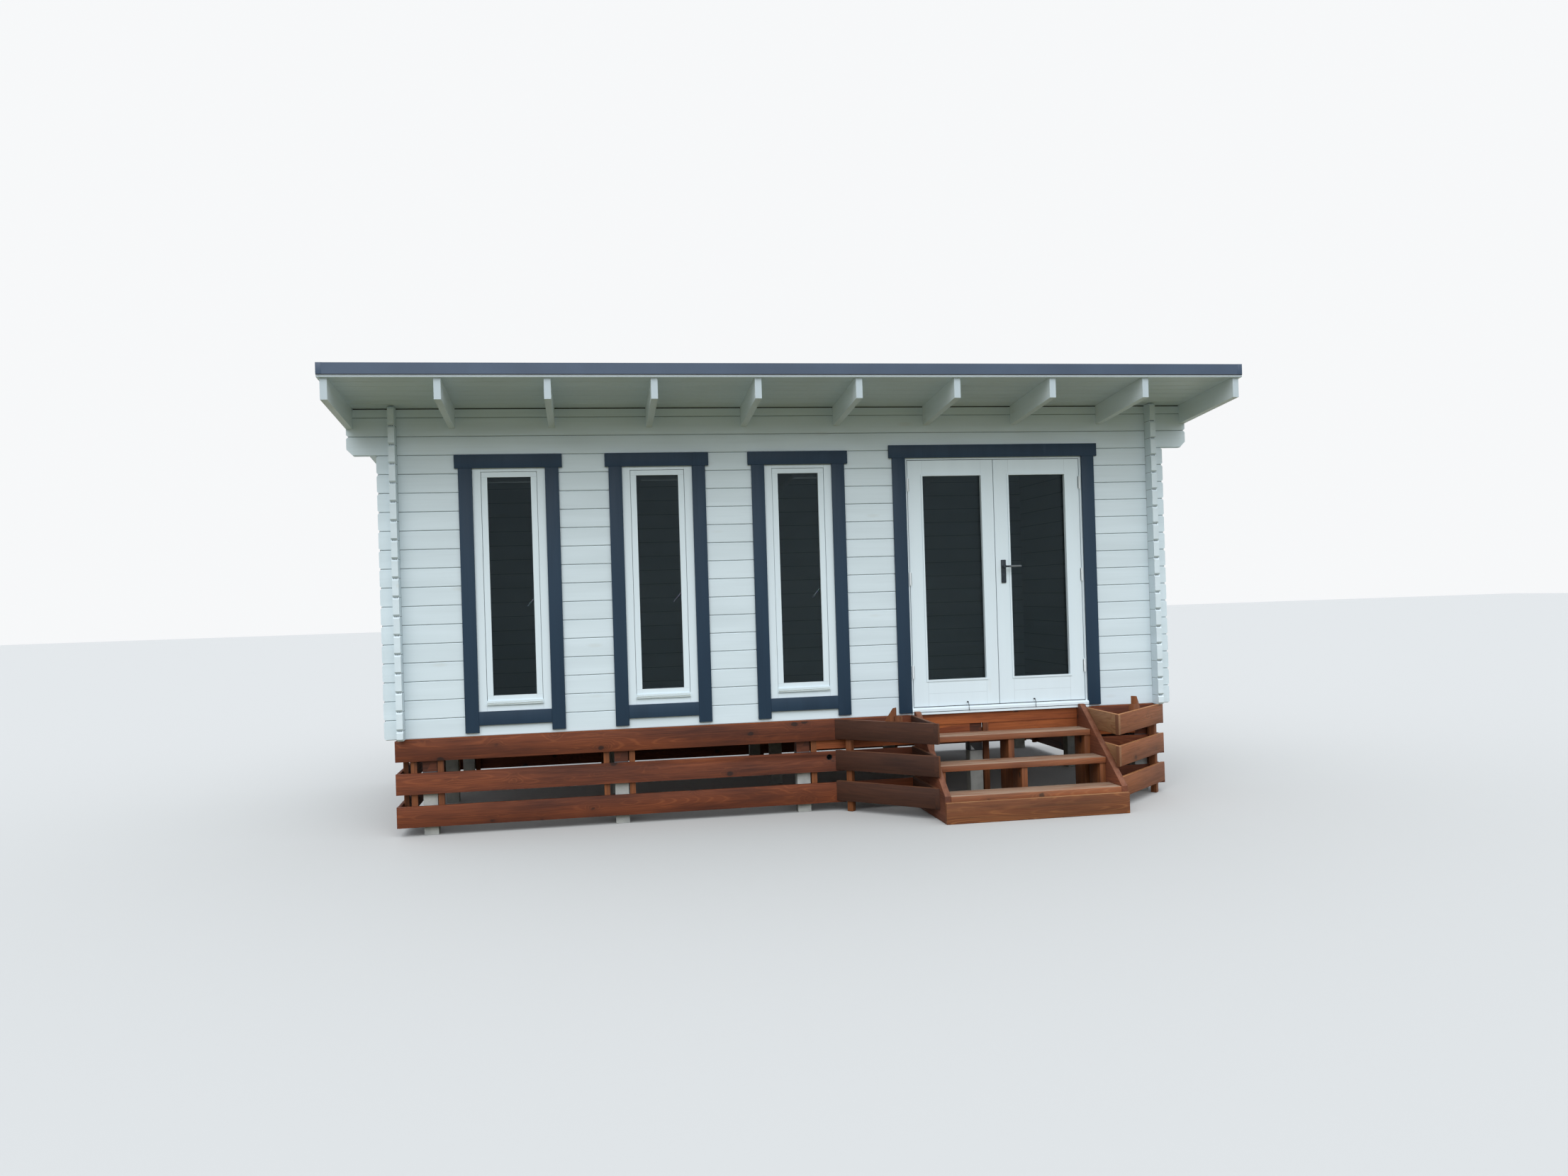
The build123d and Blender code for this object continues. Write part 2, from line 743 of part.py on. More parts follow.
# Handle plates on both faces of the right leaf, and one lever with a grip on each side
plate_x = (handle_x - plate_width / 2, handle_x + plate_width / 2)
plate_z = (handle_height + plate_above - plate_height, handle_height + plate_above)
outer_plate_y = (leaf_y - seat - plate_thickness, leaf_y - seat)
inner_plate_y = (leaf_back + seat, leaf_back + seat + plate_thickness)


def handle_plate(y_pair):
    plate = block(*plate_x, *y_pair, *plate_z)
    plate = chamfer(plate.edges().filter_by(Axis.Y), plate_corner)
    return plate - round_bar(spindle_radius + plate_clearance, y_pair[0] - cut_past, y_pair[1] + cut_past)


door_handle_plates = [handle_plate(outer_plate_y), handle_plate(inner_plate_y)]
grip_outer = outer_plate_y[0] - lever_out
grip_inner = inner_plate_y[1] + lever_out


def grip(middle_y):
    """The flat lever, with a round end at the spindle and a slight taper to its tip."""
    outline = [
        (handle_x, handle_height - lever_height / 2),
        (handle_x + lever_length, handle_height - lever_tip_height / 2),
        (handle_x + lever_length, handle_height + lever_tip_height / 2),
        (handle_x, handle_height + lever_height / 2),
    ]
    half = lever_thickness / 2
    arm = prism_along_y(outline, middle_y - half, middle_y + half)
    return arm + round_bar(spindle_radius, middle_y - half, middle_y + half)


spindle = round_bar(spindle_radius, grip_outer, grip_inner)
door_lever = [spindle + grip(grip_outer) + grip(grip_inner)]

# Hinges: a lower knuckle on the frame and an upper one on the leaf, each with a short arm
hinge_y = frame_y - hinge_out
left_hinge_x = left_leaf_low - leaf_gap / 2
right_hinge_x = right_leaf_high + leaf_gap / 2


def knuckles(axis_x, inward, z):
    """The frame's knuckle and the leaf's knuckle of one hinge."""
    half = hinge_length / 2
    lower = Pos(axis_x, hinge_y, z - half / 2) * Cylinder(hinge_radius, half - hinge_break)
    frame_arm = sorted((axis_x - inward * leaf_gap / 2, axis_x - inward * hinge_arm))
    lower += block(*frame_arm, hinge_y, frame_y, z - half + hinge_end, z - hinge_end)
    upper = Pos(axis_x, hinge_y, z + half / 2) * Cylinder(hinge_radius, half - hinge_break)
    leaf_arm = sorted((axis_x + inward * (leaf_gap / 2 + seat), axis_x + inward * hinge_arm))
    upper += block(*leaf_arm, hinge_y, leaf_y, z + hinge_end, z + half - hinge_end)
    return lower, upper


frame_hinges = []
left_leaf_hinges = []
right_leaf_hinges = []
for z in hinge_heights:
    lower, upper = knuckles(left_hinge_x, 1, z)
    frame_hinges.append(lower)
    left_leaf_hinges.append(upper)
    lower, upper = knuckles(right_hinge_x, -1, z)
    frame_hinges.append(lower)
    right_leaf_hinges.append(upper)

# Floor: rim joists under the walls, joists, boards, and rails between the posts
floor_boards = [block(
    -room_half + log_gap, room_half - log_gap,
    wall_front + log_thickness + log_gap, wall_back - log_thickness - log_gap,
    wall_base + seat, floor_top,
)]
joist_low = rim_bottom
joist_top = wall_base
rim_joists = [
    block(-half_width, half_width, wall_front, wall_front + rim_width, joist_low, joist_top),
    block(-half_width, half_width, wall_back - rim_width, wall_back, joist_low, joist_top),
]
inner_y = (wall_front + rim_width + seat, wall_back - rim_width - seat)
for side in (-1, 1):
    rim_x = sorted((side * half_width, side * (half_width - rim_width)))
    rim_joists.append(block(*rim_x, *inner_y, joist_low, joist_top))
stump_pitch = (wall_width - 2 * stump_inset) / (stump_columns - 1)
joist_pitch = stump_pitch / joists_per_bay
floor_joists = []
joist_count = int((half_width - rim_width - joist_pitch / 2) // joist_pitch)
for i in range(-joist_count, joist_count + 1):
    x = stump_offset + i * joist_pitch
    floor_joists.append(block(x - rim_width / 2, x + rim_width / 2, *inner_y, joist_low, joist_top))

stump_xs = [stump_offset + (i - (stump_columns - 1) / 2) * stump_pitch for i in range(stump_columns)]
row_ys = [wall_front + stump_setback, (wall_front + wall_back) / 2, wall_back - stump_setback]
half_stump = stump_size / 2
stumps = []
stump_caps = []
stump_blocks = []
block_low = stump_top + stump_cap + 2 * seat
for row, y in enumerate(row_ys):
    for x in stump_xs:
        stumps.append(block(x - half_stump, x + half_stump, y - half_stump, y + half_stump, 0, stump_top))
        stump_caps.append(block(
            x - half_stump, x + half_stump, y - half_stump, y + half_stump,
            stump_top + seat, stump_top + seat + stump_cap,
        ))
        block_top = rim_bottom - seat if row != 1 else rim_bottom - rail_height - 2 * seat
        stump_blocks.append(block(
            x - half_stump, x + half_stump, y - half_stump, y + half_stump, block_low, block_top))
half_batten = batten_width / 2
batten_middles = []
rail_starts = []
rail_ends = []
for column, x in enumerate(stump_xs):
    batten_middles.append(x + batten_right)
    rail_starts.append(x + batten_right + half_batten + seat)
    if column in left_batten_columns:
        batten_middles.append(x - batten_left)
        rail_ends.append(x - batten_left - half_batten - seat)
    else:
        rail_ends.append(x - half_stump - seat)
rail_top = rim_bottom - seat
floor_rails = [block(
    -half_width + rail_end_gap, half_width - rail_end_gap,
    row_ys[1] - rim_width / 2, row_ys[1] + rim_width / 2, rail_top - rail_height, rail_top,
)]
for rail_y in ((wall_front + rail_setback, wall_front + rail_setback + rim_width),
               (wall_back - rail_setback - rim_width, wall_back - rail_setback)):
    for bay, (x0, x1) in enumerate(zip(rail_starts[:-1], rail_ends[1:])):
        height = tall_rail_height if bay >= stump_columns // 2 else rail_height
        floor_rails.append(block(x0, x1, *rail_y, rail_top - height, rail_top))

# Skirting boards with gaps between them, on battens beside the stumps
front_boards = []
for low in skirting_bottoms:
    z_pair = (low, low + skirting_height)
    y_pair = (wall_front - skirting_board, wall_front - seat)
    front_boards.append(block(-corner_x, step_left - seat, *y_pair, *z_pair))
    front_boards.append(block(step_right + seat, corner_x, *y_pair, *z_pair))
vent = Pos(vent_x, wall_front - skirting_board / 2, vent_z) * Rot(90, 0, 0) * Cylinder(
    vent_radius, skirting_board * 2)
skirting_front = flatten([board - vent for board in front_boards])
skirting_back = []
skirting_sides = []
side_run = (wall_front + seat, wall_back - seat)
for low in skirting_bottoms:
    z_pair = (low, low + skirting_height)
    skirting_back.append(block(
        -corner_x, corner_x, wall_back + seat, wall_back + skirting_board, *z_pair))
    skirting_sides.append(block(
        -half_width - skirting_board, -half_width - seat, *side_run, *z_pair))
    skirting_sides.append(block(
        half_width + seat, half_width + skirting_board, *side_run, *z_pair))
batten_z = (batten_bottom, rim_bottom - seat)
skirting_battens = []
for x in batten_middles:
    x_pair = (x - half_batten, x + half_batten)
    skirting_battens.append(block(*x_pair, wall_front, wall_front + batten_thickness, *batten_z))
    skirting_battens.append(block(*x_pair, wall_back - batten_thickness, wall_back, *batten_z))
for y in (row_ys[0] + batten_left, row_ys[1], row_ys[2] - batten_left):
    y_pair = (y - half_batten, y + half_batten)
    skirting_battens.append(block(-half_width, -half_width + batten_thickness, *y_pair, *batten_z))
    skirting_battens.append(block(half_width - batten_thickness, half_width, *y_pair, *batten_z))

# Steps
nose_y = wall_front - stringer_reach
stringer_outline = [
    (wall_front - seat, 0),
    (wall_front - seat, wall_base - seat),
    (wall_front - threshold_reach - stringer_clearance, wall_base - seat),
    (wall_front - threshold_reach - stringer_clearance, stringer_top),
    (wall_front - stringer_crest, stringer_top),
    (nose_y, stringer_nose_z),
    (nose_y, 0),
]
step_stringers = [
    prism_along_x(stringer_outline, step_left, step_left + stringer_thickness),
    prism_along_x(stringer_outline, step_right - stringer_thickness, step_right),
]
tread_x = (step_left + stringer_thickness + seat, step_right - stringer_thickness - seat)
step_treads = []
for top, front, depth in zip(tread_tops, tread_fronts, tread_depths):
    y_pair = (wall_front - front, wall_front - front + depth)
    step_treads.append(block(*tread_x, *y_pair, top - tread_thickness, top))
step_riser = [block(step_left, step_right, nose_y - seat - riser_thickness, nose_y - seat, 0, riser_height)]
support_lows = [tread_x[0] + seat, support_middle - stringer_thickness / 2]
support_lows.append(tread_x[1] - seat - stringer_thickness)
tread_supports = []
for top, front in list(zip(tread_tops, tread_fronts))[:2]:
    y0 = wall_front - front + support_setback
    for x in support_lows:
        tread_supports.append(block(
            x, x + stringer_thickness, y0, y0 + support_depth, 0, top - tread_thickness - seat))

# Wings: boards out along each stringer, diagonal boards back to the wall, posts and stakes.
# The right wing ends where the skirting does.
wing_inner_y = wall_front - skirting_board - seat


def wing(corner_edge, far_end, post_places):
    """Boards of one wing, from the stringer's face to the wall, and its posts and stake."""
    side = 1 if far_end > corner_edge else -1
    start = (corner_edge + side * seat, wall_front - wing_reach)
    finish = (far_end, wing_inner_y)
    run = (finish[0] - start[0], finish[1] - start[1])
    length = math.hypot(*run)
    along = (run[0] / length, run[1] / length)
    inward = (-along[1] * side, along[0] * side)
    rise = along[1] / along[0] * side
    inner_start = (start[0], start[1] + wing_board / abs(along[0]))
    inner_finish = (finish[0] - side * wing_board / along[1], finish[1])
    diagonal = [start, finish, inner_finish, inner_start]
    board_edge = start[0] + side * wing_board
    board = [
        (start[0], wing_inner_y),
        (board_edge, wing_inner_y),
        (board_edge, inner_start[1] + rise * wing_board + seat),
        (start[0], inner_start[1] + seat),
    ]
    boards = []
    for low in wing_bottoms:
        boards.append(prism_up(diagonal, low, low + skirting_height))
        boards.append(prism_up(board, low, low + skirting_height))

    def upright(distance, width, thickness, low, top):
        """A post against the inner face of the diagonal boards, at a distance from the corner."""
        base = (start[0] + along[0] * distance, start[1] + along[1] * distance)
        near = wing_board + seat
        corners = []
        for a, b in ((0, near), (width, near), (width, near + thickness), (0, near + thickness)):
            corners.append((
                base[0] + along[0] * a + inward[0] * b,
                base[1] + along[1] * a + inward[1] * b,
            ))
        return prism_up(corners, low, top)

    board_top = wing_bottoms[-1] + skirting_height
    short_low = wing_bottoms[-1] + short_post_low
    first_post, second_post = (place * length for place in post_places)
    posts = [
        upright(first_post, wing_post, wing_post, short_low, board_top + wing_post_rise),
        upright(second_post, wing_post, wing_post, 0, board_top - wing_post_fall),
    ]
    stake_start = first_post + wing_post + stake_gap
    stake = upright(stake_start, stake_width, stake_thickness, short_low, stake_top)
    tip = (
        start[0] + along[0] * (stake_start + stake_tip),
        start[1] + along[1] * (stake_start + stake_tip),
    )
    flat = math.cos(math.radians(stake_lean))
    lean = Plane(
        origin=(tip[0], tip[1], stake_top),
        x_dir=(inward[0], inward[1], 0),
        z_dir=(along[0] * flat, along[1] * flat, math.sin(math.radians(stake_lean))),
    )
    cutter = lean * Pos(0, 0, stake_top / 2) * Box(stake_top, stake_top, stake_top)
    return boards, posts + [stake - cutter]


left_wing_boards, left_posts = wing(step_left, left_wing_end, left_post_places)
right_wing_boards, right_posts = wing(step_right, corner_x, right_post_places)

nodes = {
    "stumps": stumps,
    "stump_caps": stump_caps,
    "stump_blocks": stump_blocks,
    "floor_rails": floor_rails,
    "rim_joists": rim_joists,
    "floor_joists": floor_joists,
    "floor_boards": floor_boards,
    "skirting_battens": skirting_battens,
    "skirting_front": skirting_front,
    "skirting_sides": skirting_sides,
    "skirting_back": skirting_back,
    "front_wall_left": front_wall_left,
    "front_wall_right": front_wall_right,
    "front_wall_over_door": front_wall_over_door,
    "left_wall": left_wall,
    "right_wall": right_wall,
    "back_wall": back_wall,
    "rafters": rafters,
    "roof_boards": roof_boards,
    "roof_battens": roof_battens,
    "roof_sheet": roof_sheet,
    "roof_flashings": roof_flashings,
    "roof_edge_strips": roof_edge_strips,
    "window_frames": window_frames,
    "window_sashes": window_sashes,
    "window_panes": window_panes,
    "window_trims": window_trims,
    "door_frame": door_frame,
    "door_threshold": door_threshold,
    "door_trim": door_trim,
    "frame_hinges": frame_hinges,
    "door_leaf_left": [left_body],
    "door_pane_left": [left_pane],
    "left_leaf_hinges": left_leaf_hinges,
    "door_leaf_right": [right_body],
    "door_pane_right": [right_pane],
    "right_leaf_hinges": right_leaf_hinges,
    "door_handle_plates": door_handle_plates,
    "door_lever": door_lever,
    "step_stringers": step_stringers,
    "step_treads": step_treads,
    "step_riser": step_riser,
    "tread_supports": tread_supports,
    "left_wing_boards": left_wing_boards,
    "right_wing_boards": right_wing_boards,
    "wing_posts": left_posts + right_posts,
}

os.makedirs("parts", exist_ok=True)
for name, shapes in nodes.items():
    export_step(Compound(children=flatten(shapes)), f"parts/{name}.step")
print(len(nodes), "nodes")
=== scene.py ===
# %% [markdown]
# A garden office of interlocking logs, dressed for a render.
# The solid model comes from CAD and stays as it is. This lesson gives each piece its finish, rounds the
# edges that the eye would miss, and adds the small parts: hooks, seals, screws and the handle's details.
# All lengths are metres, X runs along the front wall, +Y goes into the room and Z is up.

# %% Load the solid model
import math

import bpy
from mathutils import Matrix, Vector


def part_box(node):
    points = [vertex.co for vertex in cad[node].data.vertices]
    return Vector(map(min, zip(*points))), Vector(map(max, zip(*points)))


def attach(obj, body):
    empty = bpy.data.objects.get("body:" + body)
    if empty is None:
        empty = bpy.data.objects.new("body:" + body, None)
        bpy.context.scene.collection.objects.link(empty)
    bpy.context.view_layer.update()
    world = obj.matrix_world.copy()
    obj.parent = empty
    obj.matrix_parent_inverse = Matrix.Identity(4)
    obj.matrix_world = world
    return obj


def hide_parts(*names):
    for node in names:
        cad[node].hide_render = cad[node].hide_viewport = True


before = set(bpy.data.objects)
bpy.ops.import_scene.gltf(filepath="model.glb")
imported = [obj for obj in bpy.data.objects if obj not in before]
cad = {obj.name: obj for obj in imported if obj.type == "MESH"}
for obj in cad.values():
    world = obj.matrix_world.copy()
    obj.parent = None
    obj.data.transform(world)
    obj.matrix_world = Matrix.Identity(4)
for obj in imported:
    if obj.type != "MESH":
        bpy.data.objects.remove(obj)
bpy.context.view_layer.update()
print(len(cad), "CAD nodes")

# %% [markdown]
# Lengths that several steps share are measured on the solid model, so that the small parts keep their
# place if a size of the model changes. A wing is known by its corner by the steps and by the direction
# of its diagonal boards.

# %% Places measured on the model
door_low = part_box("door_leaf_left")[0]
right_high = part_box("door_leaf_right")[1]
wall_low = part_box("front_wall_left")[0]
side_low, side_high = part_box("left_wall")
rim_low, rim_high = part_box("rim_joists")
wall_front = rim_low.y
wall_back = rim_high.y
wing_board = 0.025
wings = {}
for side, near in (("left", 1), ("right", 0)):
    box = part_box(f"{side}_wing_boards")
    wing_corner = Vector((box[near].x, box[0].y, 0.0))
    wing_end = Vector((box[1 - near].x, box[1].y, 0.0))
    wings[f"{side}_wing"] = (wing_corner, (wing_end - wing_corner).normalized())
print("wall front", round(wall_front, 4), "back", round(wall_back, 4))


# %% [markdown]
# Small helpers keep the steps short. Operators act on whatever is selected, so each step first clears
# the selection and then picks its own object.

# %% Helpers for objects
def select_only(piece):
    """Selects one object and makes it the active one."""
    bpy.ops.object.select_all(action="DESELECT")
    piece.select_set(True)
    bpy.context.view_layer.objects.active = piece


def finish_piece(piece, name, material, body):
    """Names a finished piece, brings its place into its mesh, and lets it ride on a body."""
    select_only(piece)
    bpy.ops.object.transform_apply(location=True, rotation=True, scale=True)
    piece.name = name
    piece.data.materials.clear()
    piece.data.materials.append(material)
    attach(piece, body)


def merged_copy(node_name, name):
    """A copy of a CAD node with its loose triangles joined again into solids with flat faces."""
    piece = bpy.data.objects.new(name, cad[node_name].data.copy())
    bpy.context.scene.collection.objects.link(piece)
    select_only(piece)
    bpy.ops.object.mode_set(mode="EDIT")
    bpy.ops.mesh.select_all(action="SELECT")
    bpy.ops.mesh.remove_doubles(threshold=0.00002)
    bpy.ops.mesh.dissolve_limited(angle_limit=math.radians(0.5))
    bpy.ops.object.mode_set(mode="OBJECT")
    return piece


def round_edges(piece, width):
    """Rounds the sharp edges of a piece with a Bevel modifier, and applies it."""
    select_only(piece)
    bevel = piece.modifiers.new("round_edges", "BEVEL")
    bevel.width = width
    bevel.segments = 2
    bevel.limit_method = "ANGLE"
    bevel.angle_limit = math.radians(30)
    bpy.ops.object.modifier_apply(modifier=bevel.name)
    bpy.ops.object.shade_smooth_by_angle(angle=math.radians(35))


# %% [markdown]
# A material is a tree of shader nodes. The helpers below add a node, set its values and link what feeds
# it, so that each finish reads from top to bottom like a recipe. Sockets that share a name are picked by
# their number: a Mix node takes its two colours at 6 and 7 and gives the mixed one at 2.

# %% Helpers for shader nodes
def feed(tree, made, feeds):
    """Sets a node's sockets, by name or number, to values, or links other sockets to them."""
    for key, value in feeds.items():
        if isinstance(value, bpy.types.NodeSocket):
            tree.links.new(value, made.inputs[key])
        else:
            made.inputs[key].default_value = value


def add_node(tree, kind, feeds=None, **settings):
    """Adds a shader node with its settings and with what feeds it."""
    made = tree.nodes.new("ShaderNode" + kind)
    for key, value in settings.items():
        setattr(made, key, value)
    feed(tree, made, feeds or {})
    return made


def math_node(tree, operation, a, b=0.0):
    """One sum on two values, and its result."""
    return add_node(tree, "Math", {0: a, 1: b}, operation=operation).outputs[0]


def plus(tree, a, b):
    """The sum of two values."""
    return math_node(tree, "ADD", a, b)


def times(tree, a, b):
    """The product of two values."""
    return math_node(tree, "MULTIPLY", a, b)


def distance(tree, a, b):
    """How far two values lie apart."""
    return math_node(tree, "ABSOLUTE", math_node(tree, "SUBTRACT", a, b))


def remap(tree, value, low, high, to_low=0.0, to_high=1.0):
    """Stretches the range low to high of a value onto another range, clamped."""
    feeds = {0: value, 1: low, 2: high, 3: to_low, 4: to_high}
    return add_node(tree, "MapRange", feeds, clamp=True).outputs[0]


def mix_color(tree, factor, a, b):
    """Mixes two colours by a factor."""
    return add_node(tree, "Mix", {0: factor, 6: a, 7: b}, data_type="RGBA").outputs[2]


# %% [markdown]
# A pattern needs to know where a point lies. Object coordinates are metres on the object itself, so a
# noise that is stretched along one axis gives streaks of a real size, which stay put when a leaf turns.

# %% Helpers for places and patterns
def scaled(tree, vector, scale):
    """A vector with each part times its own factor."""
    return add_node(tree, "VectorMath", {0: vector, 1: scale}, operation="MULTIPLY").outputs[0]


def noise(tree, vector, scale, detail=2.0, roughness=0.5):
    """Smooth noise on stretched coordinates, as a value near 0.5."""
    feeds = {"Vector": scaled(tree, vector, scale), "Scale": 1.0, "Detail": detail, "Roughness": roughness}
    return add_node(tree, "TexNoise", feeds).outputs[0]


def object_place(tree):
    """Where a point lies, in the object's own coordinates."""
    return add_node(tree, "TexCoord").outputs["Object"]


def parts_of(tree, vector):
    """The X, Y and Z parts of a vector."""
    return add_node(tree, "SeparateXYZ", {0: vector}).outputs


def facing(tree):
    """The X, Y and Z parts of the direction that the surface looks in."""
    return parts_of(tree, add_node(tree, "NewGeometry").outputs["Normal"])


def bumped(tree, strength, depth, height):
    """The normal of a surface that a height makes uneven."""
    return add_node(tree, "Bump", {"Strength": strength, "Distance": depth, "Height": height}).outputs[0]


# %% [markdown]
# Colours are written as a screen shows them. An effect that several finishes share is a node group, and
# each finish places it with its own values.

# %% Helpers for materials and node groups
def color(red, green, blue):
    """A colour from its 0 to 255 screen values, as the linear light that shaders use."""
    linear = []
    for part in (red, green, blue):
        part = part / 255
        linear.append(part / 12.92 if part <= 0.04045 else ((part + 0.055) / 1.055) ** 2.4)
    return (*linear, 1.0)


def new_group(name, inputs, outputs):
    """A node group with named sockets: its tree, what it is given, and the node that takes its results."""
    tree = bpy.data.node_groups.new(name, "ShaderNodeTree")
    for title, kind, default in inputs:
        socket = tree.interface.new_socket(title, in_out="INPUT", socket_type="NodeSocket" + kind)
        if default is not None:
            socket.default_value = default
    for title, kind in outputs:
        tree.interface.new_socket(title, in_out="OUTPUT", socket_type="NodeSocket" + kind)
    return tree, tree.nodes.new("NodeGroupInput").outputs, tree.nodes.new("NodeGroupOutput")


def use_group(tree, group, feeds):
    """Places a node group in a tree and feeds its sockets."""
    return add_node(tree, "Group", feeds, node_tree=group).outputs


def new_material(name):
    """A material with an empty Principled shader: the material, its tree and the shader."""
    material = bpy.data.materials.new(name)
    material.use_nodes = True
    tree = material.node_tree
    tree.nodes.clear()
    shader = add_node(tree, "BsdfPrincipled")
    add_node(tree, "OutputMaterial", {0: shader.outputs[0]})
    return material, tree, shader


def plain_finish(name, tone, rough, metallic=0.0):
    """A finish of one even colour."""
    material, tree, shader = new_material(name)
    feed(tree, shader, {"Base Color": tone, "Roughness": rough, "Metallic": metallic})
    return material


# %% [markdown]
# Wood grain runs along its board, so a pattern needs to know which way a board lies. The boards of a
# wing lie in two directions: the short ones run straight back from the corner, the others diagonally.

# %% Helpers for the way a board lies
def short_boards(tree, split, corner):
    """1 on a wing's short boards, which run straight back from its corner, and 0 on the diagonal ones."""
    return math_node(tree, "LESS_THAN", distance(tree, split[0], corner.x), wing_board + 0.002)


def along_wing(tree, split, corner, direction):
    """X along a wing's diagonal boards, but along Y for its short boards."""
    run = plus(tree, times(tree, split[0], direction.x), times(tree, split[1], direction.y))
    across = plus(tree, times(tree, split[0], -direction.y), times(tree, split[1], direction.x))
    short = short_boards(tree, split, corner)
    pair = [
        add_node(tree, "Mix", {0: short, 2: diagonal, 3: square}, data_type="FLOAT").outputs[0]
        for diagonal, square in ((run, split[1]), (across, split[0]))]
    return add_node(tree, "CombineXYZ", {0: pair[0], 1: pair[1], 2: split[2]}).outputs[0]


def along(tree, axis):
    """Object coordinates turned so that X runs along a board that lies along the given axis or wing."""
    split = parts_of(tree, object_place(tree))
    if axis in wings:
        return along_wing(tree, split, *wings[axis])
    order = {"X": (0, 1, 2), "Y": (1, 0, 2), "Z": (2, 1, 0)}[axis]
    feeds = {slot: split[source] for slot, source in enumerate(order)}
    return add_node(tree, "CombineXYZ", feeds).outputs[0]


# %% [markdown]
# A board sawn through a trunk shows its growth rings as long arches, loops and lines. They look like the
# height lines of a map, so the rings are made as height lines of a smooth noise that is stretched along
# the board. Knots push the lines aside, as they do in wood. Random Per Island is one number for each
# loose solid, and gives every board its own figure and its own tone.

# %% Node group: the figure of sawn timber
figure, given, result = new_group(
    "timber_figure",
    [("Vector", "Vector", None), ("Rings", "Float", 15.0), ("Knot Size", "Float", 0.021)],
    [("Rings", "Float"), ("Pores", "Float"), ("Knots", "Float"), ("Halo", "Float"), ("Height", "Float"),
     ("Cloud", "Float"), ("Board", "Float")],
)
island = add_node(figure, "NewGeometry").outputs["Random Per Island"]
island_shift = scaled(figure, island, (61.7, 17.3, 37.9))
moved = add_node(figure, "VectorMath", {0: given["Vector"], 1: island_shift}, operation="ADD")
own_place = moved.outputs[0]
print("each board has its own part of the figure")

# %% [markdown]
# Knots lie in the cells of a Voronoi pattern, at most one in each. Some cells stay empty, and a knot is
# longer along the board. A wide halo round it darkens the wood and pushes the rings aside.

# %% The knots of the figure
cells_per_metre = (2.6, 9.0, 9.0)
knot_squeeze = (0.7, 1.0, 1.0)
knot_places = scaled(figure, own_place, cells_per_metre)
knot_cells = add_node(figure, "TexVoronoi", {"Vector": knot_places, "Scale": 1.0}).outputs
from_knot = add_node(figure, "VectorMath", {0: knot_places, 1: knot_cells["Position"]}, operation="SUBTRACT")
to_metres = [part / cells for part, cells in zip(knot_squeeze, cells_per_metre)]
from_knot = scaled(figure, from_knot.outputs[0], to_metres)
knot_radius = add_node(figure, "VectorMath", {0: from_knot}, operation="LENGTH").outputs["Value"]
rough_rim = math_node(figure, "SUBTRACT", noise(figure, own_place, (30.0, 60.0, 60.0)), 0.5)
knot_distance = plus(figure, knot_radius, times(figure, rough_rim, 0.012))
cell_number = add_node(figure, "SeparateColor", {0: knot_cells["Color"]}).outputs[0]
knot_present = remap(figure, cell_number, 0.30, 0.34)
knot_core = times(figure, given["Knot Size"], 0.72)
halo_reach = times(figure, given["Knot Size"], 3.6)
knots = times(figure, remap(figure, knot_distance, knot_core, given["Knot Size"], 1.0, 0.0), knot_present)
halo = times(figure, remap(figure, knot_distance, 0.0, halo_reach, 1.0, 0.0), knot_present)
halo = math_node(figure, "POWER", halo, 2.2)
print("knots in about two cells of three")

# %% [markdown]
# The rings are the height lines of a slow noise, with a small ripple and a hill round each knot. Pores
# and fibres are fine noises that are stretched far along the board.

# %% The rings and the grain of the figure
slow = noise(figure, own_place, (0.55, 6.2, 6.2), 1.0, 0.35)
ripple = noise(figure, own_place, (6.0, 20.0, 20.0))
contour = plus(figure, plus(figure, slow, times(figure, ripple, 0.032)), times(figure, halo, 0.16))
saw = math_node(figure, "FRACT", times(figure, contour, given["Rings"]))
rings = remap(figure, distance(figure, saw, 0.5), 0.03, 0.20, 1.0, 0.0)
pores = noise(figure, own_place, (7.0, 330.0, 330.0), 2.0, 0.6)
fibres = noise(figure, own_place, (2.2, 90.0, 90.0), 2.0, 0.6)
fine_grain = plus(figure, pores, fibres)
cloud = noise(figure, own_place, (1.6, 9.0, 9.0), 3.0)
height = plus(figure, times(figure, rings, 0.3), times(figure, fine_grain, 0.35))
feed(figure, result, {
    "Rings": rings, "Pores": times(figure, fine_grain, 0.5), "Knots": knots, "Halo": halo, "Height": height,
    "Cloud": cloud, "Board": island})
print("node group", figure.name)


# %% [markdown]
# Red-brown decking stain covers all sawn timber. Under it the early wood stays orange, the late wood
# turns dark, and end grain drinks more stain. Where rain and boots reach, the stain wears off in
# fibrous streaks and the wood goes grey. One recipe with different tones makes all of it.

# %% Recipe for stained timber
knot_size = 0.021


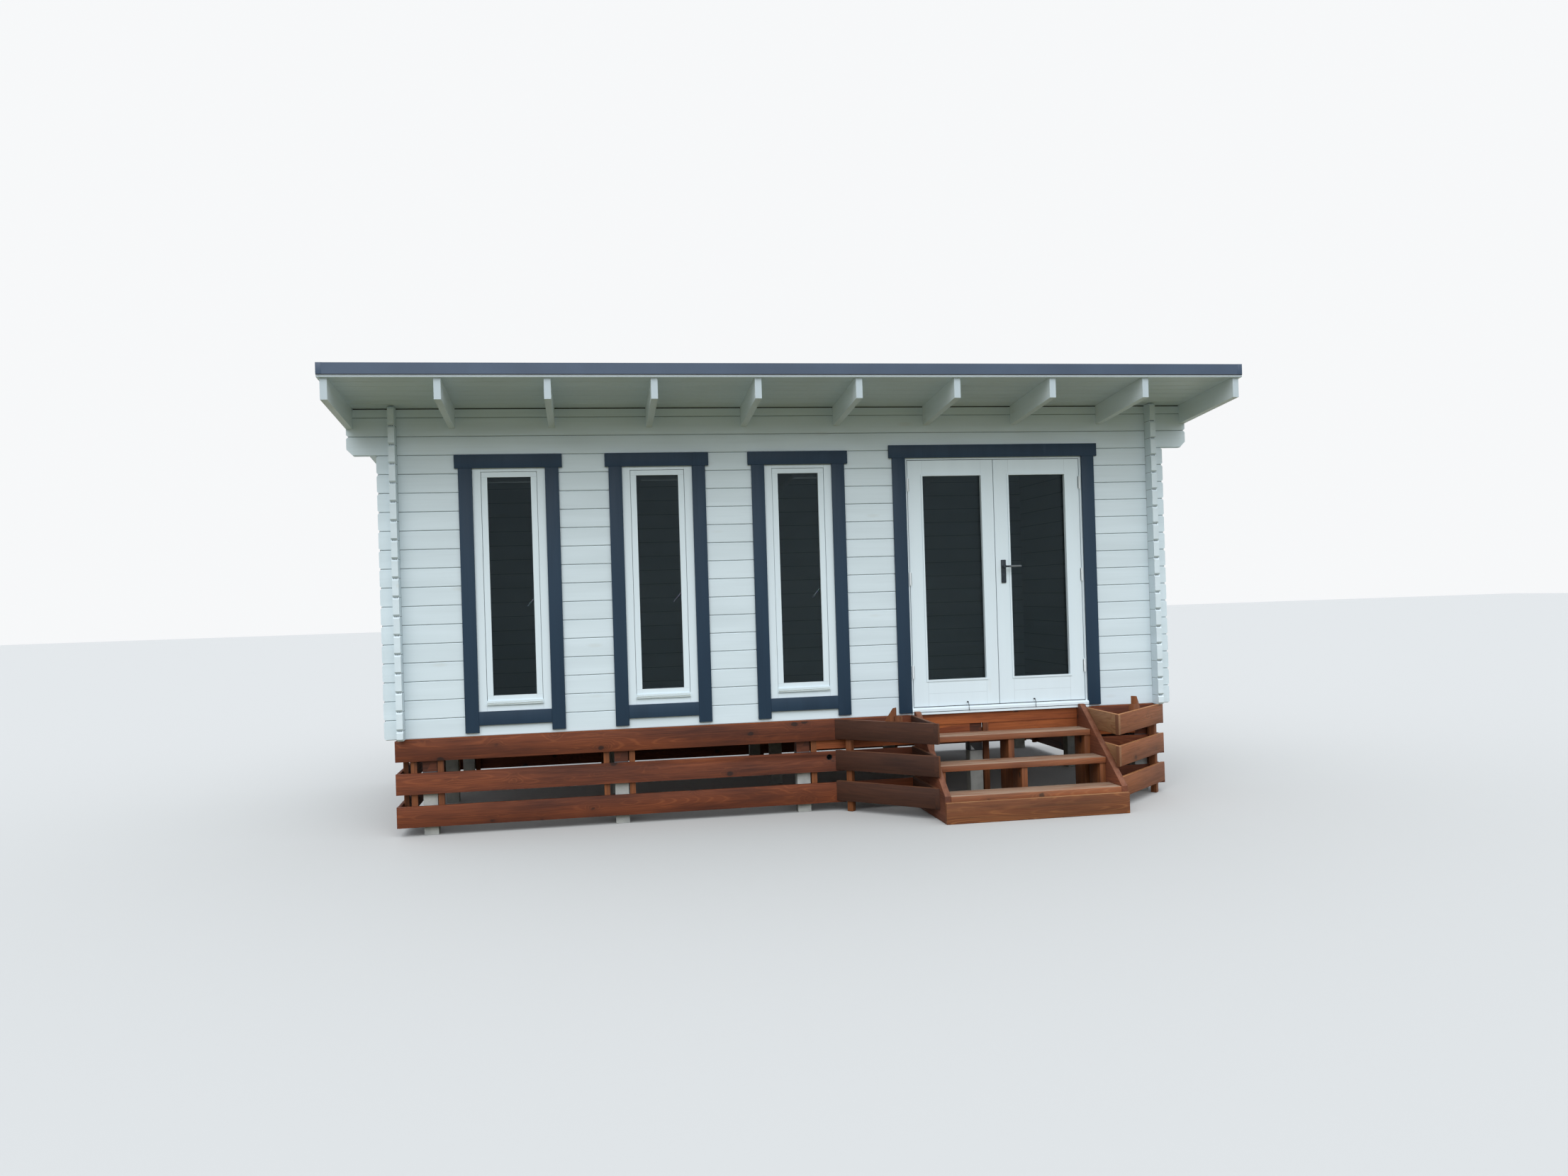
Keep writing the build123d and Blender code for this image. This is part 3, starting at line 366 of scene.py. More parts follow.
def timber(name, axis, light, dark, knot, line=None, lines=0.5, worn=None, wear=0.0, rings=15.0, spread=0.35,
           inner=None):
    """A stained board's finish: ring figure, pores, knots, a tone for each board, and worn tops."""
    material, tree, shader = new_material(name)
    place = along(tree, axis)
    wood = use_group(tree, figure, {"Vector": place, "Rings": rings, "Knot Size": knot_size})
    # Light and dark patches, other tones on a wing's short boards, and a tone for each board.
    patch = remap(tree, wood["Cloud"], 0.30, 0.70)
    base = mix_color(tree, patch, dark, light)
    if inner:
        short = short_boards(tree, parts_of(tree, object_place(tree)), wings[axis][0])
        base = mix_color(tree, short, base, mix_color(tree, patch, *inner))
    base = mix_color(tree, remap(tree, wood["Board"], 0.0, 1.0, 0.0, spread), base, dark)
    # Pores, broken ring lines, and knots with a darker halo.
    coat = mix_color(tree, remap(tree, wood["Pores"], 0.50, 0.66, 0.0, 0.40), base, knot)
    coat = mix_color(tree, remap(tree, wood["Pores"], 0.34, 0.48, 0.40, 0.0), coat, light)
    broken = times(tree, remap(tree, wood["Cloud"], 0.42, 0.64, 0.12, 1.0), lines)
    coat = mix_color(tree, times(tree, wood["Rings"], broken), coat, line or dark)
    coat = mix_color(tree, times(tree, wood["Halo"], 0.50), coat, knot)
    coat = mix_color(tree, times(tree, wood["Knots"], 0.85), coat, knot)
    if worn:
        lying = remap(tree, facing(tree)[2], 0.4, 0.9, 0.10, 1.0)
        scuffs = noise(tree, place, (2.4, 26.0, 26.0), 4.0, 0.65)
        bare = remap(tree, plus(tree, scuffs, times(tree, wood["Pores"], 0.5)), 0.52, 0.84)
        coat = mix_color(tree, times(tree, times(tree, lying, bare), wear), coat, worn)
    feed(tree, shader, {
        "Base Color": coat, "Roughness": remap(tree, wood["Pores"], 0.3, 0.7, 0.52, 0.72),
        "Specular IOR Level": 0.3, "Normal": bumped(tree, 0.35, 0.002, wood["Height"])})
    return material


# %% Tones of the stained timber: light, dark and knot
skirting_tones = (color(117, 59, 31), color(73, 34, 19), color(34, 18, 12))
skirting_lines = {"line": color(144, 80, 45), "lines": 0.42, "rings": 34.0}
red_stain = timber("red_stain_boards", "X", *skirting_tones, **skirting_lines)
red_stain_sides = timber("red_stain_side_boards", "Y", *skirting_tones, **skirting_lines)
orange_stain = timber(
    "orange_stain_framing", "X", color(158, 87, 42), color(110, 52, 24), color(56, 28, 15), lines=0.2,
    spread=0.2, rings=24.0)
tread_stain = timber(
    "tread_boards", "X", color(152, 89, 53), color(101, 56, 34), color(52, 32, 22), line=color(169, 110, 70),
    lines=0.4, worn=color(162, 138, 118), wear=1.0, spread=0.15, rings=26.0)
stringer_stain = timber(
    "stringer_boards", "Y", color(121, 68, 44), color(78, 41, 28), color(37, 20, 16),
    worn=color(141, 96, 74), wear=0.75)
riser_stain = timber(
    "riser_board", "X", color(130, 76, 45), color(86, 46, 27), color(46, 26, 16), line=color(164, 108, 64),
    lines=0.75, worn=color(166, 122, 83), wear=0.9, rings=36.0)
left_wing_stain = timber(
    "left_wing_boards", "left_wing", color(77, 45, 31), color(46, 25, 18), color(24, 14, 11),
    worn=color(110, 70, 46), wear=1.1)
right_wing_stain = timber(
    "right_wing_boards", "right_wing", color(148, 86, 48), color(100, 53, 28), color(52, 27, 16), lines=0.85,
    worn=color(174, 120, 74), wear=1.2, rings=30.0, inner=(color(122, 86, 60), color(166, 126, 88)))
post_stain = timber("post_timber", "Z", color(144, 86, 47), color(89, 49, 27), color(43, 25, 16))
block_timber = timber(
    "stump_block_timber", "X", color(120, 63, 37), color(64, 34, 22), color(41, 22, 15), spread=0.6)
plain_pine = timber("plain_pine", "Y", color(216, 178, 128), color(184, 142, 94), color(122, 82, 52))
floor_pine = timber("floor_pine", "X", color(206, 166, 116), color(172, 130, 86), color(112, 76, 48))
end_grain = timber("wing_end_grain", "Z", color(118, 74, 46), color(84, 50, 32), color(52, 32, 24))
print("timber finishes made")

# %% [markdown]
# The logs are painted white over brushed timber. Real paint shows the wood a little: long brush
# streaks, a faint figure, and knots that bleed a warm grey. The paint's own colour stays a cool white.
# The rafters get a lighter copy of the white paint, and greyer cut ends than sides: painted light and
# shade, set by how the light falls on each face.

# %% Node group: brushed paint over wood
brushed, given, result = new_group(
    "brushed_paint",
    [("Vector", "Vector", None), ("Paint", "Color", color(216, 226, 231)),
     ("Shade", "Color", color(190, 200, 203)), ("Stain", "Color", color(176, 170, 152)),
     ("Amount", "Float", 0.5)],
    [("Color", "Color"), ("Roughness", "Float"), ("Height", "Float")],
)
streaks = noise(brushed, given["Vector"], (2.2, 70.0, 70.0), 3.0)
clouds = noise(brushed, given["Vector"], (0.8, 2.5, 7.4))
bleed_place = scaled(brushed, given["Vector"], (1.4, 5.0, 5.0))
bleeds = add_node(brushed, "TexVoronoi", {"Vector": bleed_place, "Scale": 1.0}).outputs["Distance"]
cloudy = times(brushed, remap(brushed, clouds, 0.35, 0.7), given["Amount"])
streaky = times(brushed, remap(brushed, streaks, 0.5, 0.8), times(brushed, given["Amount"], 0.5))
bleeding = times(brushed, remap(brushed, bleeds, 0.04, 0.10, 0.35, 0.0), given["Amount"])
surface = mix_color(brushed, cloudy, given["Paint"], given["Shade"])
surface = mix_color(brushed, streaky, surface, given["Shade"])
surface = mix_color(brushed, bleeding, surface, given["Stain"])
feed(brushed, result, {
    "Color": surface, "Roughness": remap(brushed, streaks, 0.3, 0.8, 0.42, 0.55), "Height": streaks})
print("node group", brushed.name)


# %% Painted finishes
def paint(name, axis, coat, shade, stain, amount, bump_strength, gloss=0.35, ends=None):
    """A brushed paint finish for boards that lie along one axis; faces that look along Y get another tone,
    as painted shade, if given.
    """
    material, tree, shader = new_material(name)
    coats = use_group(tree, brushed, {
        "Vector": along(tree, axis), "Paint": coat, "Shade": shade, "Stain": stain, "Amount": amount})
    surface = coats["Color"]
    # Faces that look along Y, the cut ends, get another tone: painted shade set by where the light falls.
    if ends:
        cut = remap(tree, math_node(tree, "ABSOLUTE", facing(tree)[1]), 0.6, 0.9)
        surface = mix_color(tree, cut, surface, ends)
    feed(tree, shader, {
        "Base Color": surface, "Roughness": coats["Roughness"], "Specular IOR Level": gloss,
        "Normal": bumped(tree, bump_strength, 0.001, coats["Height"])})
    return material


knot_bleed = color(180, 176, 160)
log_tones = (color(215, 228, 234), color(196, 209, 214), knot_bleed)
log_paint = paint("white_log_paint", "X", *log_tones, 0.45, 0.18)
side_log_paint = paint("white_side_log_paint", "Y", *log_tones, 0.45, 0.18)
joinery_paint = paint(
    "white_joinery_paint", "Z", color(218, 231, 237), color(206, 218, 224), knot_bleed, 0.25, 0.08)
# The rafters' paint is a lighter copy of the log paint, and their ends are greyer: painted light and shade.
rafter_paint = paint(
    "white_rafter_paint", "Y", color(226, 236, 238), color(208, 218, 220), knot_bleed, 0.45, 0.18,
    ends=color(184, 197, 203))
slate_paint = paint(
    "slate_trim_paint", "Z", color(40, 59, 77), color(33, 49, 65), color(62, 80, 98), 0.5, 0.12, gloss=0.2)
print("paint finishes made")

# %% [markdown]
# Metal, concrete and glass. The roof's steel is painted at the works, so it is even, and only broad
# soft dents catch the light. The stumps are cast concrete with small pores. Small parts have one plain
# colour, because no pattern on them would show.

# %% Steel and other metals
def coated_steel(name, coat, shade, rough):
    """Steel sheet with a baked coat: even colour and a few broad dents."""
    material, tree, shader = new_material(name)
    clouds = noise(tree, object_place(tree), (3.0, 3.0, 3.0), 3.0)
    feed(tree, shader, {
        "Base Color": mix_color(tree, remap(tree, clouds, 0.35, 0.7), coat, shade), "Roughness": rough,
        "Specular IOR Level": 0.5, "Normal": bumped(tree, 0.08, 0.01, clouds)})
    return material


roof_steel = coated_steel("roof_steel", color(66, 84, 107), color(59, 76, 98), 0.42)
white_metal = coated_steel("white_metal", color(236, 242, 245), color(222, 229, 232), 0.35)

dark_metal, tree, shader = new_material("dark_metal")
specks = noise(tree, object_place(tree), (180.0, 180.0, 180.0))
speckled = mix_color(tree, remap(tree, specks, 0.4, 0.7), color(38, 44, 50), color(58, 66, 74))
feed(tree, shader, {"Base Color": speckled, "Metallic": 0.6, "Roughness": 0.38})

galvanised, tree, shader = new_material("galvanised_steel")
spangle = add_node(tree, "TexVoronoi", {"Vector": object_place(tree), "Scale": 60.0}).outputs["Color"]
spangled = mix_color(tree, 0.25, color(168, 172, 174), spangle)
feed(tree, shader, {"Base Color": spangled, "Metallic": 0.8, "Roughness": 0.35})

dark_steel = plain_finish("dark_steel", color(52, 55, 58), 0.55, metallic=0.3)
# A plain lighter grey for the lever's grip sleeve.
grip_grey_metal = plain_finish("grip_grey_metal", color(96, 102, 106), 0.45)
print("metals made")

# %% Concrete, glass, films and shadow tones
concrete, tree, shader = new_material("concrete")
place = object_place(tree)
mottle = noise(tree, place, (9.0, 9.0, 9.0), 6.0)
pits = add_node(tree, "TexVoronoi", {"Vector": place, "Scale": 95.0}).outputs["Distance"]
grey = mix_color(tree, remap(tree, mottle, 0.3, 0.7), color(148, 150, 148), color(186, 187, 182))
pitted = mix_color(tree, remap(tree, pits, 0.08, 0.2, 0.5, 0.0), grey, color(112, 112, 110))
pitting = bumped(tree, 0.5, 0.002, remap(tree, pits, 0.05, 0.25))
feed(tree, shader, {"Base Color": pitted, "Roughness": 0.85, "Normal": pitting})

glass, tree, shader = new_material("window_glass")
feed(tree, shader, {
    "Base Color": color(170, 178, 180), "Roughness": 0.0, "IOR": 1.45,
    "Specular Tint": (0.30, 0.38, 0.43, 1.0), "Transmission Weight": 1.0})

membrane = plain_finish("damp_membrane", color(66, 68, 72), 0.55)
bright_film = plain_finish("bright_film", color(206, 210, 212), 0.5)
# A near-black for the real glazing seals, and also painted shade: the roof gap, the threshold and flashing
# lines, the keyway and the vent tube.
seal_and_shade = plain_finish("dark_seal_and_shade", color(34, 36, 40), 0.7)
# A pale grey for lines of painted shade: beside the leaves' beads and in the wall's corners.
pale_shade_grey = plain_finish("bead_shadow", color(138, 150, 156), 0.7)
# Painted shade: a dark grey for bars and strips that stand for the shade in joints, notches, grooves and
# beside the hinge barrels.
painted_shade_grey = plain_finish("seam_shadow", color(66, 74, 76), 0.8)
line_grey = plain_finish("joint_line", color(180, 192, 198), 0.6)
drip_shadow = plain_finish("drip_shadow", color(122, 127, 104), 0.7)
print("concrete, glass and plain finishes made")

# %% [markdown]
# The CAD nodes that stay as they are get their finish on the object's own slot, which leaves the mesh
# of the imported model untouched.

# %% Finishes of the CAD nodes
finished_nodes = (
    (log_paint, "front_wall_left front_wall_right front_wall_over_door back_wall"),
    (log_paint, "roof_boards roof_edge_strips"),
    (side_log_paint, "left_wall right_wall"),
    (rafter_paint, "rafters"),
    (joinery_paint, "window_frames window_sashes door_frame door_threshold door_leaf_left door_leaf_right"),
    (slate_paint, "window_trims door_trim"),
    (roof_steel, "roof_sheet roof_flashings"),
    (white_metal, "frame_hinges left_leaf_hinges right_leaf_hinges"),
    (dark_metal, "door_handle_plates door_lever"),
    (concrete, "stumps"),
    (membrane, "stump_caps"),
    (block_timber, "stump_blocks"),
    (plain_pine, "roof_battens floor_joists"),
    (floor_pine, "floor_boards"),
    (glass, "window_panes door_pane_left door_pane_right"),
    (orange_stain, "rim_joists floor_rails"),
    (post_stain, "skirting_battens tread_supports wing_posts"),
    (red_stain, "skirting_front skirting_back"),
    (red_stain_sides, "skirting_sides"),
    (stringer_stain, "step_stringers"),
    (tread_stain, "step_treads"),
    (riser_stain, "step_riser"),
    (left_wing_stain, "left_wing_boards"),
    (right_wing_stain, "right_wing_boards"),
)
node_finishes = {node_name: finish for finish, names in finished_nodes for node_name in names.split()}
for node_name, finish in node_finishes.items():
    if not cad[node_name].data.materials:
        cad[node_name].data.materials.append(None)
    cad[node_name].material_slots[0].link = "OBJECT"
    cad[node_name].material_slots[0].material = finish
print(len(node_finishes), "nodes finished,", sorted(set(cad) - set(node_finishes)), "left")

# %% [markdown]
# Outdoor timber has softened edges that catch a thin line of light. The boards of the steps, the wings,
# the skirting and the trims are copied, their edges are rounded by 1.5 to 4 mm, and the copies stand for
# the nodes. A Bevel modifier does all edges at once, where rounding them by hand would take long.

# %% Boards with rounded edges
rounding = {
    "skirting_front": 0.0025, "skirting_back": 0.0025, "skirting_sides": 0.0025, "step_treads": 0.004,
    "step_stringers": 0.003, "step_riser": 0.003, "tread_supports": 0.002, "left_wing_boards": 0.003,
    "right_wing_boards": 0.003, "wing_posts": 0.002, "window_trims": 0.0015, "door_trim": 0.0015,
}
for node_name, width in rounding.items():
    finish = node_finishes[node_name]
    board = merged_copy(node_name, node_name + "_rounded")
    round_edges(board, width)
    finish_piece(board, node_name + "_rounded", finish, "building")
    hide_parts(node_name)
    print(node_name, len(board.data.polygons), "faces")


# %% [markdown]
# Small parts are made from a few primitives: shaped in edit mode, rounded, and copied where they
# repeat. The first helpers make ranges, a block from its ranges and a turned bar between two points.

# %% Helpers for small parts
def around(middle, half):
    """The range that reaches equally far to both sides of a middle."""
    return middle - half, middle + half


def depths(face, inward, near, far):
    """The range between two depths from a face, where inward is 1 or -1 for the way to go."""
    return face + inward * near, face + inward * far


def add_block(xs, ys, zs, soften=0.0):
    """A block that fills three ranges, with its edges rounded if soften is given."""
    bpy.ops.object.select_all(action="DESELECT")
    ranges = [sorted(ends) for ends in (xs, ys, zs)]
    bpy.ops.mesh.primitive_cube_add(size=1.0, location=[(a + b) / 2 for a, b in ranges])
    piece = bpy.context.active_object
    piece.scale = [b - a for a, b in ranges]
    bpy.ops.object.transform_apply(location=False, rotation=False, scale=True)
    if soften:
        round_edges(piece, soften)
    return piece


def add_rod(start, end, radius, sides=24, soften=0.0):
    """A round bar from one point to another, with its rims rounded if soften is given."""
    bpy.ops.object.select_all(action="DESELECT")
    start, end = Vector(start), Vector(end)
    bpy.ops.mesh.primitive_cylinder_add(
        radius=radius, depth=(end - start).length, vertices=sides, location=(start + end) / 2,
        rotation=(end - start).to_track_quat("Z", "Y").to_euler())
    piece = bpy.context.active_object
    bpy.ops.object.transform_apply(location=False, rotation=True, scale=True)
    if soften:
        round_edges(piece, soften)
    else:
        bpy.ops.object.shade_smooth_by_angle(angle=math.radians(40))
    return piece


def join_pieces(parts):
    """Joins several objects into the first one."""
    bpy.ops.object.select_all(action="DESELECT")
    for part in parts:
        part.select_set(True)
    bpy.context.view_layer.objects.active = parts[0]
    bpy.ops.object.join()
    return bpy.context.active_object


def repeat_at(piece, offsets):
    """Copies a piece to each offset from its own place, joins the copies and drops the original."""
    copies = []
    for offset in offsets:
        twin = piece.copy()
        twin.data = piece.data.copy()
        twin.location = piece.location + Vector(offset)
        bpy.context.scene.collection.objects.link(twin)
        copies.append(twin)
    bpy.data.objects.remove(piece)
    return join_pieces(copies)


# %% [markdown]
# Where two logs meet, the bottom of the V shows the shaded edge of the lower log's tongue. A fine dark
# line, crisp along the whole wall, paints that shade in. Each line is a thin dark grey bar with rounded
# edges that runs from one opening or log end to the next one: painted shade, not a part of the logs. On
# the flat inner faces the joint is only a hair line of the same painted shade. Bars stay crisp from near
# and far, where a line painted on the logs' own finish would blur.

# %% Places of the seams and openings
course = 0.135
log_thick = 0.044
first_seam = 0.832
front_courses = 17
back_courses = 15
top_logs = 2
roof_fall = 0.0964
wall_half = rim_high.x
inner_half = wall_half - log_thick
front_seams = [first_seam + i * course for i in range(front_courses)]
back_seams = front_seams[:back_courses]
side_seams = [z - course / 2 for z in front_seams]
under_roof = front_seams[-1] + course / 2
window_lefts = (-2.339, -1.268, -0.210)
window_width = 0.515
window_gap = 0.027
opening_head = 2.66
openings = [(left - window_gap, left + window_width + window_gap) for left in window_lefts]
openings.append([corner.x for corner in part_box("door_frame")])


def stretches(reach, cuts):
    """The parts of a seam between the openings that cut it, from one log end to the other."""
    edges = [-reach, *(edge for cut in cuts for edge in cut), reach]
    return list(zip(edges[::2], edges[1::2]))


print(len(front_seams), "front seams,", len(side_seams), "side seams")

# %% Dark lines of painted shade in the log joints
seam_half = 0.0015
seam_depth = (0.0036, 0.0065)
seam_soft = 0.0004
hair_half = 0.0011
hair_depth = (log_thick - 0.001, log_thick + 0.0002)
log_reach = 2.986
top_log_reach = 3.186
inner_reach = 2.992
bars = []
for face, inward, seams in ((wall_front, 1, front_seams), (wall_back, -1, back_seams)):
    for index, z in enumerate(seams):
        cuts = openings if seams is front_seams and z < opening_head else []
        for xs in stretches(log_reach if index < len(seams) - top_logs else top_log_reach, cuts):
            bars.append(add_block(xs, depths(face, inward, *seam_depth), around(z, seam_half), seam_soft))
        for xs in stretches(inner_reach, cuts):
            bars.append(add_block(xs, depths(face, inward, *hair_depth), around(z, hair_half)))
finish_piece(join_pieces(bars), "long_wall_seams", painted_shade_grey, "building")

bevel_end = 0.014
hair_end = 0.008
roof_room = 0.09
bars = []
for z in side_seams:
    end = min(side_high.y - bevel_end, wall_front + (under_roof - z) / roof_fall - roof_room)
    for side in (-1, 1):
        face = side * wall_half
        outer_ys, inner_ys = (side_low.y + bevel_end, end), (side_low.y + hair_end, end)
        bars.append(add_block(depths(face, -side, *seam_depth), outer_ys, around(z, seam_half), seam_soft))
        bars.append(add_block(depths(face, -side, *hair_depth), inner_ys, around(z, hair_half)))
finish_piece(join_pieces(bars), "side_wall_seams", painted_shade_grey, "building")
print("seam lines made")

# %% Shadow lines in the corners and under the roof
corner_half = 0.0009
corners = [
    add_block(around(x, corner_half), around(wall_front, corner_half), (wall_low.z + 0.01, front_seams[-1]))
    for x in (-inner_half, inner_half)]
finish_piece(join_pieces(corners), "corner_shadow_lines", pale_shade_grey, "building")
# A near-black bar under the roof boards paints the shade in the gap above the top log.
gap_reach = 3.15
gap_line = add_block(
    around(0.0, gap_reach), depths(wall_front, 1, 0.003, 0.012), depths(under_roof, -1, 0.0012, 0.0095))
finish_piece(gap_line, "roof_gap_shadow", seal_and_shade, "building")
print("corner and roof lines made")


# %% [markdown]
# Two tongues on each log fit two grooves in the next one. At the log ends the little air gaps beside
# the tongues lie in shade, and dark teeth in the V notch paint that shade in. One tooth is modelled and
# copied to every notch.

# %% Dark teeth in the notches of the log ends
tooth_places = (0.0085, 0.0195, 0.0305)
tooth_width = 0.004
tooth_depth = (0.0065, 0.0185)
tooth_rise = (-0.0045, 0.0020)
tooth_soft = 0.0012


def joint_teeth(name, axis, log_end, inward, face, seams):
    """The teeth at one end of a wall whose logs lie along X or Y and start at a face across it."""
    lengthwise = depths(log_end, inward, *tooth_depth)
    across = depths(face + tooth_places[0], 1, 0.0, tooth_width)
    level = (lengthwise, across) if axis == "X" else (across, lengthwise)
    tooth = add_block(*level, depths(seams[0], 1, *tooth_rise), tooth_soft)
    offsets = []
    for z in seams:
        for place in tooth_places:
            step = place - tooth_places[0]
            offsets.append((0.0, step, z - seams[0]) if axis == "X" else (step, 0.0, z - seams[0]))
    finish_piece(repeat_at(tooth, offsets), name, painted_shade_grey, "building")


for side, face in (("left", side_low.x), ("right", -side_low.x - log_thick)):
    joint_teeth(f"{side}_wall_front_joint_gaps", "Y", side_low.y, 1, face, side_seams)
    joint_teeth(f"{side}_wall_back_joint_gaps", "Y", side_high.y, -1, face, side_seams[:-top_logs])
long_walls = (("front", wall_front, front_seams), ("back", wall_back - log_thick, back_seams))
for side, log_end, inward in (("left", wall_low.x, 1), ("right", -wall_low.x, -1)):
    for wall, face, seams in long_walls:
        joint_teeth(f"{wall}_wall_{side}_joint_gaps", "X", log_end, inward, face, seams[:-top_logs])
print("log end gaps made")


# %% [markdown]
# A joiner's door leaf is built of stiles and rails. The joints show as hair lines in the paint, so
# thin grey strips are laid three tenths of a millimetre proud of the leaf's face. A darker outline
# stands for the shadow beside the bead that holds the pane.

# %% Joint lines of the door leaves
def line_strip(xs, face, zs):
    """A thin strip just in front of a face that looks towards the camera."""
    return add_block(xs, (face - 0.0003, face + 0.0005), zs)


joint_half = 0.0007
pane_hidden = 0.0097
bead_width = 0.013
joint_end = 0.0135
rail_shift = 0.004
leaf_face = wall_front + 0.002
for name in ("left", "right"):
    body = f"{name}_door"
    low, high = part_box(f"door_leaf_{name}")
    pane_low, pane_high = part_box(f"door_pane_{name}")
    glass_left, glass_right = pane_low.x + pane_hidden, pane_high.x - pane_hidden
    glass_low, glass_high = pane_low.z + pane_hidden, pane_high.z - pane_hidden
    lines = []
    for x in (glass_left - 0.001, glass_right + 0.001):
        for zs in ((low.z + 0.002, glass_low - joint_end), (glass_high + joint_end, high.z - 0.002)):
            lines.append(line_strip(around(x, joint_half), leaf_face, zs))
    rail_joint = (low.z + glass_low) / 2 - rail_shift
    lines.append(line_strip((glass_left, glass_right), leaf_face, around(rail_joint, joint_half)))
    finish_piece(join_pieces(lines), f"{name}_leaf_joint_lines", line_grey, body)
    bead_xs = (glass_left - bead_width, glass_right + bead_width)
    bead_zs = (glass_low - bead_width, glass_high + bead_width)
    outline = [line_strip(around(x, joint_half), leaf_face, bead_zs) for x in bead_xs]
    outline += [line_strip(bead_xs, leaf_face, around(z, joint_half)) for z in bead_zs]
    finish_piece(join_pieces(outline), f"{name}_leaf_bead_shadow", pale_shade_grey, body)
print("leaf lines made")

# %% [markdown]
# Each leaf has a small cabin hook: an eye screwed into the bottom rail, with a thin wire hook that
# hangs down in front of the threshold. The eye is a torus, and the wire could be one swept curve, but
# three short rods give its bends with few faces.

# %% Cabin hooks of the leaves
eye_z = 0.773
bend_z = eye_z - 0.020
wire_radius = 0.0019
hang_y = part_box("door_threshold")[0].y - 0.008
for name, x in (("left", 1.327), ("right", 1.868)):
    eye_plate = add_rod((x, leaf_face - 0.002, eye_z), (x, leaf_face, eye_z), 0.006, soften=0.0006)
    stem = add_rod((x, leaf_face - 0.018, eye_z), (x, leaf_face - 0.001, eye_z), 0.0025)
    bpy.ops.object.select_all(action="DESELECT")
    bpy.ops.mesh.primitive_torus_add(
        major_radius=0.005, minor_radius=0.0018, major_segments=24, minor_segments=10,
        location=(x, leaf_face - 0.019, eye_z), rotation=(0.0, math.radians(90), 0.0))
    eye = bpy.context.active_object
    slope = add_rod((x, leaf_face - 0.023, eye_z - 0.003), (x, hang_y, bend_z), wire_radius, 12)
    wire = add_rod((x, hang_y, bend_z + 0.001), (x, hang_y, eye_z - 0.058), wire_radius, 12)
    tip = add_rod((x, hang_y, eye_z - 0.057), (x + 0.008, hang_y, eye_z - 0.061), wire_radius, 12)
    hook = join_pieces([eye_plate, stem, eye, slope, wire, tip])
    finish_piece(hook, f"{name}_leaf_hook", dark_steel, f"{name}_door")
print("hooks made")

# %% [markdown]
# The lock's handle plate has a raised panel, a round rose where the lever turns, a keyhole with its
# cylinder, and two screws. The lever's grip is a thicker sleeve with a rounded end. Each is a turned or
# flat stud on the plate, so blocks and rods with rounded rims are enough.

# %% Details of the handle
plate_low, plate_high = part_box("door_handle_plates")
lever_low, lever_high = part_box("door_lever")
handle_x = (plate_low.x + plate_high.x) / 2
handle_z = 1.81
keyhole_z = 1.738
for side, face, out in (("outer", plate_low.y, -1), ("inner", plate_high.y, 1)):
    def add_stud(z, reach, radius, sides, soften):
        """A round stud on the plate."""
        return add_rod((handle_x, face, z), (handle_x, face + out * reach, z), radius, sides, soften)

    panel = add_block(
        around(handle_x, 0.0145), depths(face, out, -0.001, 0.0015),
        (plate_low.z + 0.006, plate_high.z - 0.006), 0.0012)
    rose = add_stud(handle_z, 0.006, 0.0145, 32, 0.0012)
    barrel = add_stud(keyhole_z, 0.0045, 0.0085, 28, 0.0008)
    lug = add_block(
        around(handle_x, 0.005), depths(face, out, 0.0, 0.0040), (keyhole_z - 0.022, keyhole_z), 0.0008)
    screws = [add_stud(z, 0.0028, 0.0038, 16, 0.0008) for z in (plate_low.z + 0.014, plate_high.z - 0.014)]
    details = join_pieces([panel, rose, barrel, lug, *screws])
    finish_piece(details, f"{side}_handle_details", dark_metal, "right_door")
    # The keyway is a near-black block: painted shade in the key's slot.
    keyway = add_block(around(handle_x, 0.0012), depths(face, out, 0.0, 0.0047), around(keyhole_z, 0.0055))
    finish_piece(keyway, f"{side}_keyway", seal_and_shade, "right_door")
for side, y in (("outer", lever_low.y + 0.006), ("inner", lever_high.y - 0.006)):
    sleeve = add_rod(
        (handle_x + 0.030, y, handle_z), (lever_high.x + 0.002, y, handle_z), 0.0085, 28, 0.004)
    finish_piece(sleeve, f"{side}_lever_sleeve", grip_grey_metal, "lever")
print("handle details made")

# %% [markdown]
# The hinges get turned caps at both ends of each barrel. The lower cap belongs to the frame, the upper
# one turns with the leaf. A cap is a short rod with a rounded rim, so the barrel stays the CAD's own. A
# thin dark strip on the leaf marks the shadow beside each barrel.

# %% Hinge caps
hinge_heights = (1.018, 1.733, 2.456)
hinge_half = 0.048
hinge_y = wall_front - 0.0077
cap_radius = 0.0062
cap_rise = (-0.001, 0.004)
shadow_reach = (0.0072, 0.0106)
shadow_depth = (-0.0004, 0.0006)
frame_caps = []
for name, x, inward in (("left", door_low.x - 0.0025, 1), ("right", right_high.x + 0.0025, -1)):
    leaf_caps = []
    shadows = []
    for z in hinge_heights:
        foot, top = around(z, hinge_half)
        for caps, end, up in ((leaf_caps, top, 1), (frame_caps, foot, -1)):
            inner_z, outer_z = depths(end, up, *cap_rise)
            caps.append(add_rod((x, hinge_y, inner_z), (x, hinge_y, outer_z), cap_radius, 20, 0.0018))
        shadows.append(add_block(
            depths(x, inward, *shadow_reach), depths(door_low.y, 1, *shadow_depth), (foot, top)))
    finish_piece(join_pieces(leaf_caps), f"{name}_hinge_caps", white_metal, f"{name}_door")
    finish_piece(join_pieces(shadows), f"{name}_hinge_shadows", painted_shade_grey, f"{name}_door")
